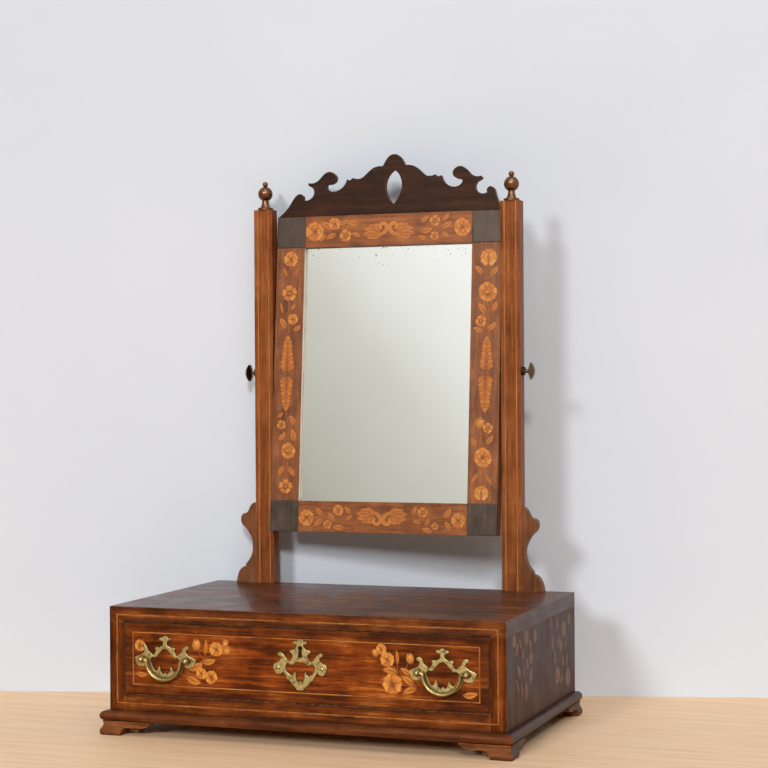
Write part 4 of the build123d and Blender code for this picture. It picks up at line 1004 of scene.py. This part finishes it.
# %% [markdown]
# ## Faces that carry ornament
# A face is known by a corner, the direction to its right, the direction up it and the way that it looks.
# The mirror's face leans back with its frame, so its upward direction leans too. Places on a face are in
# millimetres, as a maker would mark them out.

# %% Faces
class Face:
    """A flat face of the object, with places on it in millimetres."""

    def __init__(self, origin, right, up):
        self.origin, self.right, self.up = Vector(origin) * MM, Vector(right), Vector(up)
        self.out = self.right.cross(self.up)

    def point(self, x, y, depth=0.0):
        return self.origin + (self.right * x + self.up * y - self.out * depth) * MM

    def turn(self, degrees):
        """Euler angles that lay a motif on the face, turned anticlockwise."""
        a = math.radians(degrees)
        right = self.right * math.cos(a) + self.up * math.sin(a)
        up = self.up * math.cos(a) - self.right * math.sin(a)
        return Matrix((right, up, self.out)).transposed().to_euler()


LEAN = math.radians(4.7)
PIVOT_Y, PIVOT_Z, HALF_FRAME = 128.5, 385.0, 7.5
FRONT = Face((0, -136, 0), (1, 0, 0), (0, 0, 1))
RIGHT_END = Face((220, 0, 0), (0, 1, 0), (0, 0, 1))
LEFT_END = Face((-220, 0, 0), (0, -1, 0), (0, 0, 1))
TOP = Face((0, 0, 136.5), (1, 0, 0), (0, 1, 0))
MIRROR = Face((0, PIVOT_Y - HALF_FRAME * math.cos(LEAN), PIVOT_Z + HALF_FRAME * math.sin(LEAN)),
              (1, 0, 0), (0, math.sin(LEAN), math.cos(LEAN)))
print("the mirror's face looks", [round(x, 3) for x in MIRROR.out])


# %% Laying on faces
STAGGER, STAGGER_ROWS = 0.0043, 7
STEM_RADIUS, STEM_DEPTH, STEM_STEP = 0.6, 0.48, 1.5


def realised(name, mesh, tree, values, body):
    """Runs a tree over a mesh and leaves one plain piece that rides on a body."""
    source = bpy.data.objects.new(name + "_source", mesh)
    scene.collection.objects.link(source)
    laying = source.modifiers.new("laying", "NODES")
    laying.node_group = tree
    for socket in tree.interface.items_tree:
        if socket.in_out == "INPUT" and socket.name in values:
            laying[socket.identifier] = values[socket.name]
    graph = bpy.context.evaluated_depsgraph_get()
    plain = bpy.data.meshes.new_from_object(source.evaluated_get(graph), depsgraph=graph)
    piece = bpy.data.objects.new(name, plain)
    bpy.data.objects.remove(source)
    scene.collection.objects.link(piece)
    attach(piece, body)
    print(name, len(piece.data.polygons), "faces")


def lay_motifs(name, body, beds):
    """Lays motifs on faces: beds holds a face, how faded it is, and rows of motif, x, y, size and turn."""
    points, numbers, turns, sizes, fades = [], [], [], [], []
    for face, faded, rows in beds:
        for row, (motif, x, y, size, degrees) in enumerate(rows):
            points.append(face.point(x, y, -STAGGER * (row % STAGGER_ROWS)))
            numbers.append(MOTIF_NAMES.index(motif))
            turns.append(face.turn(degrees))
            sizes.append((size * MM, size * MM, 1))
            fades.append(faded)
    mesh = bpy.data.meshes.new(name)
    mesh.from_pydata(points, [], [])
    store(mesh, "motif", "INT", "value", numbers)
    store(mesh, "faded", "FLOAT", "value", fades)
    store(mesh, "turn", "FLOAT_VECTOR", "vector", turns)
    store(mesh, "size", "FLOAT_VECTOR", "vector", sizes)
    realised(name, mesh, MOTIF_TREE, {"Motifs": pattern_book, "Size": 1.0, "Finish": FRUITWOOD}, body)


def lay_stems(name, body, beds):
    """Lays stems on faces: beds holds a face, how faded it is, and stems as lists of places."""
    points, edges, fades = [], [], []
    for face, faded, stems in beds:
        for stem in stems:
            edges += [(len(points) + k, len(points) + k + 1) for k in range(len(stem) - 1)]
            points += [face.point(x, y, STEM_DEPTH) for x, y in stem]
            fades += [faded] * len(stem)
    mesh = bpy.data.meshes.new(name)
    mesh.from_pydata(points, edges, [])
    store(mesh, "faded", "FLOAT", "value", fades)
    values = {"Radius": STEM_RADIUS * MM, "Step": STEM_STEP * MM, "Finish": FRUITWOOD}
    realised(name, mesh, STEM_TREE, values, body)


print("stems are", 2 * STEM_RADIUS, "mm thick, and all but", round(STEM_RADIUS - STEM_DEPTH, 2), "mm is sunk")


# %% [markdown]
# ## The mirror frame's flowers
# Each stile carries a flower at both ends, more flowers and leaves between, and two long plumes that meet
# at the middle. Each rail has a pair of leafy scrolls that face each other, with sprays at both sides.
# Every flower has its own place, because the maker laid no two the same distance apart.

# %% Flowers of the stiles
RIGHT_STILE = [
    ("cup", 123.2, 129.5, 21, 0), ("leaf", 112.3, 115.5, 15, 42), ("leaf", 130.2, 113.5, 15, -38),
    ("eight_petals", 122.6, 90.0, 23, 10), ("leaf", 116.6, 71.5, 17, 38), ("leaf", 131.3, 72.8, 15, -22),
    ("five_petals", 115.4, 56.4, 14, 20), ("leaf", 128.6, 50.5, 15, -52), ("leaf", 112.2, 46.8, 14, 62),
    ("plume", 122.6, 19.5, 41, 0), ("plume", 122.0, -25.6, 45, 180), ("tulip", 115.6, -59.8, 17, -34),
    ("five_petals", 125.8, -65.3, 13, 0), ("leaf", 109.6, -81.5, 14, 28), ("leaf", 128.2, -78.5, 14, -40),
    ("daisy", 120.4, -98.3, 23, 0), ("slim_leaf", 111.4, -121.5, 18, 146),
    ("slim_leaf", 127.6, -122.5, 16, -146), ("slim_leaf", 117.8, -115.5, 10, 8),
    ("cup", 119.4, -138.5, 18, 0),
]
LEFT_STILE = [
    ("rose", -120.4, 133.5, 18, 0), ("slim_leaf", -112.6, 119.5, 11, -28),
    ("slim_leaf", -127.8, 118.5, 13, 30), ("five_petals", -121.2, 93.0, 20, 8),
    ("slim_leaf", -130.8, 75.8, 15, 15), ("leaf", -116.3, 77.0, 10, -45), ("rose", -115.9, 62.4, 13, 40),
    ("leaf", -128.5, 57.8, 17, 26), ("leaf", -110.6, 51.7, 13, -58), ("plume", -122.0, 21.4, 45, 0),
    ("plume", -122.0, -24.9, 43, 180), ("leaf", -128.9, -50.6, 10, -50), ("leaf", -113.6, -56.3, 15, 32),
    ("five_petals", -127.2, -62.2, 12, 30), ("leaf", -112.0, -73.9, 18, 14),
    ("leaf", -126.2, -75.9, 15, -42), ("eight_petals", -118.2, -92.5, 19, 0),
    ("leaf", -126.0, -115.0, 15, 146), ("leaf", -113.2, -116.4, 15, -146),
    ("five_petals", -120.1, -134.5, 18, 0),
]
print("flowers and leaves on the stiles:", len(RIGHT_STILE), len(LEFT_STILE))


# %% Flowers of the rails
TOP_RAIL = [
    ("rose", -90.9, 165.4, 23, 0), ("leaf", -76.5, 173.0, 18, 58), ("rose", -66.2, 173.8, 15, 20),
    ("leaf", -54.8, 175.6, 14, -72), ("leaf", -42.6, 174.4, 18, 76), ("five_petals", -52.0, 159.6, 16, 15),
    ("leaf", -70.0, 160.0, 15, 112), ("scroll", 0.6, 166.6, 33, 0), ("scroll_mirrored", 1.2, 166.6, 34, 0),
    ("leaf", 45.4, 176.2, 14, -58), ("five_petals", 57.8, 173.6, 14, 0), ("leaf", 72.0, 168.3, 16, -62),
    ("leaf", 48.0, 163.0, 17, -77), ("five_petals", 57.6, 156.2, 11, 30), ("daisy", 91.0, 165.4, 22, 0),
    ("leaf", 71.0, 177.6, 13, -48), ("leaf", 70.4, 157.6, 13, -118), ("leaf", 43.6, 154.4, 12, 64),
    ("leaf", -38.4, 160.6, 13, 70), ("leaf", -80.4, 158.6, 12, 140),
]
BOTTOM_RAIL = [
    ("rose", -92.3, -170.2, 19, 90), ("leaf", -76.8, -162.8, 14, 44), ("leaf", -77.6, -175.0, 15, 128),
    ("rose", -53.0, -161.0, 13, 0), ("leaf", -61.4, -169.0, 15, 34), ("leaf", -41.4, -160.6, 13, 42),
    ("leaf", -40.2, -169.6, 12, -56), ("five_petals", -66.2, -177.8, 11, 0),
    ("leaf", -52.0, -180.8, 16, 84), ("scroll_mirrored", 0.4, -169.6, 33, 180),
    ("scroll", 0.8, -169.6, 33, 180), ("leaf", 39.8, -159.4, 12, -32), ("five_petals", 50.2, -161.9, 13, 0),
    ("leaf", 43.4, -172.6, 12, 76), ("leaf", 56.0, -172.0, 11, -30), ("leaf", 55.8, -181.6, 15, 74),
    ("five_petals", 65.0, -177.2, 9, 0), ("leaf", 79.6, -162.3, 16, -42), ("leaf", 80.6, -176.0, 13, 36),
    ("rose", 93.0, -170.3, 17, 0),
]
print("flowers and leaves on the rails:", len(TOP_RAIL), len(BOTTOM_RAIL))


# %% Stems, and laying the frame
FRAME_STEMS = [
    [(121, 120), (120.5, 112), (121, 104)], [(112, 112), (118, 106)], [(130, 110), (122, 106)],
    [(122.5, 79), (124, 70), (122, 62)], [(117, 66), (123, 60)], [(130.5, 67), (124, 60)],
    [(115.5, 50), (119, 44), (122.5, 41)], [(116, -67), (118, -76), (120, -86)], [(111, -87), (117, -92)],
    [(127, -84), (123, -90)], [(120, -110), (119, -118), (118.5, -128)],
    [(-120.5, 124), (-121, 114), (-121.5, 104)], [(-128, 125), (-123, 113)],
    [(-121, 83), (-121.5, 72), (-122, 46)], [(-115.8, 56), (-119, 50), (-122, 46)],
    [(-122, -48), (-119, -60), (-118, -82)], [(-126, -69), (-120, -84)],
    [(-118, -103), (-119, -110), (-120, -125)],
    [(-81, 166), (-72, 168), (-60, 168), (-48, 169), (-36, 167)], [(-52, 166), (-58, 169)],
    [(38, 166), (52, 168), (64, 166), (80, 165)], [(57.5, 161), (60, 167)], [(57.8, 167), (57, 168)],
    [(-82, -170), (-70, -168), (-58, -172), (-44, -171), (-34, -169)], [(-66, -172.5), (-64, -169)],
    [(36, -168), (48, -170), (60, -172), (72, -170), (84, -170)], [(50, -168), (52, -171)],
]
STILE_FADE, RAIL_FADE, STEM_FADE = 0.28, 0.36, 0.2
frame_beds = [(MIRROR, STILE_FADE, RIGHT_STILE + LEFT_STILE), (MIRROR, RAIL_FADE, TOP_RAIL + BOTTOM_RAIL)]
lay_motifs("mirror_marquetry", "mirror", frame_beds)
lay_stems("mirror_stems", "mirror", [(MIRROR, STEM_FADE, FRAME_STEMS)])


# %% [markdown]
# ## The drawer's sprays
# A spray of roses, poppies, tulips and leaves grows from behind each handle on the drawer front. It has
# kept its colour best, so the flowers aren't faded and the stems only a little.

# %% Drawer marquetry
DRAWER_LEFT = [
    ("poppy", -184.0, 95.5, 13, 0), ("leaf", -182.5, 65.2, 14, -96), ("tulip", -118.1, 98.8, 15, 0),
    ("slim_leaf", -107.3, 97.0, 18, -4), ("rose", -95.2, 95.2, 15, 20), ("tulip", -84.4, 103.0, 10, 160),
    ("tulip", -82.2, 95.2, 11, 130), ("leaf", -103.6, 82.0, 17, -80), ("leaf", -119.0, 76.0, 20, -68),
    ("rose", -112.6, 69.2, 12, 0), ("poppy", -100.8, 65.8, 15, 45), ("leaf", -122.0, 61.6, 20, -112),
]
DRAWER_RIGHT = [
    ("tulip", 82.0, 99.4, 10, 30), ("rose", 88.4, 103.4, 11, 0), ("rose", 95.0, 93.0, 15, 15),
    ("slim_leaf", 105.5, 96.0, 16, 4), ("tulip", 119.2, 95.2, 13, 10), ("leaf", 98.2, 82.3, 18, 80),
    ("leaf", 114.5, 82.2, 14, 58), ("poppy", 100.6, 68.4, 22, 12), ("leaf", 117.0, 73.0, 17, 52),
    ("leaf", 118.6, 63.2, 17, 112), ("leaf", 182.6, 61.5, 17, -80),
]
DRAWER_STEMS = [
    [(-130, 70), (-119, 77), (-110, 84), (-98, 90)], [(-110, 84), (-116, 92)], [(-110, 84), (-107.5, 89)],
    [(-130, 70), (-122, 68), (-116, 68)], [(-91, 99), (-86, 100)],
    [(98, 89), (106, 83), (116, 75), (126, 67)], [(106, 83), (105.5, 90)],
    [(126, 67), (114, 68), (108, 68)], [(112, 79), (117, 90)],
]
lay_motifs("drawer_marquetry", "drawer", [(FRONT, 0.0, DRAWER_LEFT + DRAWER_RIGHT)])
lay_stems("drawer_stems", "drawer", [(FRONT, 0.15, DRAWER_STEMS)])


# %% [markdown]
# ## The ends and top of the box
# The ends of the box have two tall sprays each, and the top has one, which have darkened with the wood
# until they hardly show. Both ends are laid from one list, turned to face outwards.

# %% Box marquetry
END_SPRAYS = [
    ("eight_petals", -108, 113.5, 13, 0), ("leaf", -98, 104, 17, -30), ("leaf", -86, 108, 15, 25),
    ("rose", -63, 111, 16, 0), ("tulip", -30, 109, 19, 0), ("leaf", -48, 102, 17, 40),
    ("leaf", -76, 96, 16, -35), ("five_petals", -45, 88, 15, 0), ("leaf", -60, 84, 18, 30),
    ("leaf", -90, 80, 18, 35), ("leaf", -72, 78, 16, -30), ("leaf", -46, 70, 20, -24),
    ("slim_leaf", -96, 66, 22, 32), ("leaf", -64, 56, 24, 4), ("slim_leaf", -80, 60, 20, 20),
    ("slim_leaf", 36, 114, 20, 12), ("leaf", 60, 110, 17, 0), ("rose", 88, 101, 17, 0),
    ("tulip", 109, 109, 17, -10), ("leaf", 40, 92, 22, 12), ("leaf", 96, 84, 17, -30),
    ("leaf", 50, 76, 20, 16), ("leaf", 66, 90, 16, -30), ("five_petals", 76, 84, 13, 0),
    ("leaf", 100, 65, 20, -14), ("leaf", 84, 66, 17, 26), ("eight_petals", 60, 54, 19, 0),
    ("rose", 105, 46, 20, 0), ("leaf", 76, 48, 15, -60),
]
END_STEMS = [
    [(-70, 46), (-68, 62), (-78, 84), (-100, 104)], [(-68, 62), (-56, 80), (-34, 100)],
    [(-66, 70), (-62, 90), (-63, 104)], [(84, 40), (74, 58), (54, 82), (40, 104)],
    [(80, 50), (88, 74), (88, 94)], [(86, 62), (100, 84), (108, 102)],
]
TOP_SPRAY = [
    ("rose", 0, 8, 34, 0), ("five_petals", -42, 16, 24, 0), ("five_petals", 42, 16, 24, 20),
    ("daisy", 0, 46, 28, 0), ("tulip", -74, 26, 26, 50), ("tulip", 74, 26, 26, -50),
    ("eight_petals", 0, -34, 28, 0), ("leaf", -22, 36, 26, 40), ("leaf", 22, 36, 26, -40),
    ("leaf", -24, -14, 26, 120), ("leaf", 24, -14, 26, -120), ("leaf", -60, -2, 26, 100),
    ("leaf", 60, -2, 26, -100), ("slim_leaf", -98, 10, 30, 80), ("slim_leaf", 98, 10, 30, -80),
    ("leaf", -40, -36, 24, 140), ("leaf", 40, -36, 24, -140),
]
END_FADE, TOP_FADE = 0.86, 0.88
ends = (RIGHT_END, LEFT_END)
box_beds = [(end, END_FADE, END_SPRAYS) for end in ends] + [(TOP, TOP_FADE, TOP_SPRAY)]
lay_motifs("box_marquetry", "base", box_beds)
lay_stems("box_stems", "base", [(end, END_FADE, END_STEMS) for end in ends])
for motif in list(pattern_book.objects):
    bpy.data.objects.remove(motif)
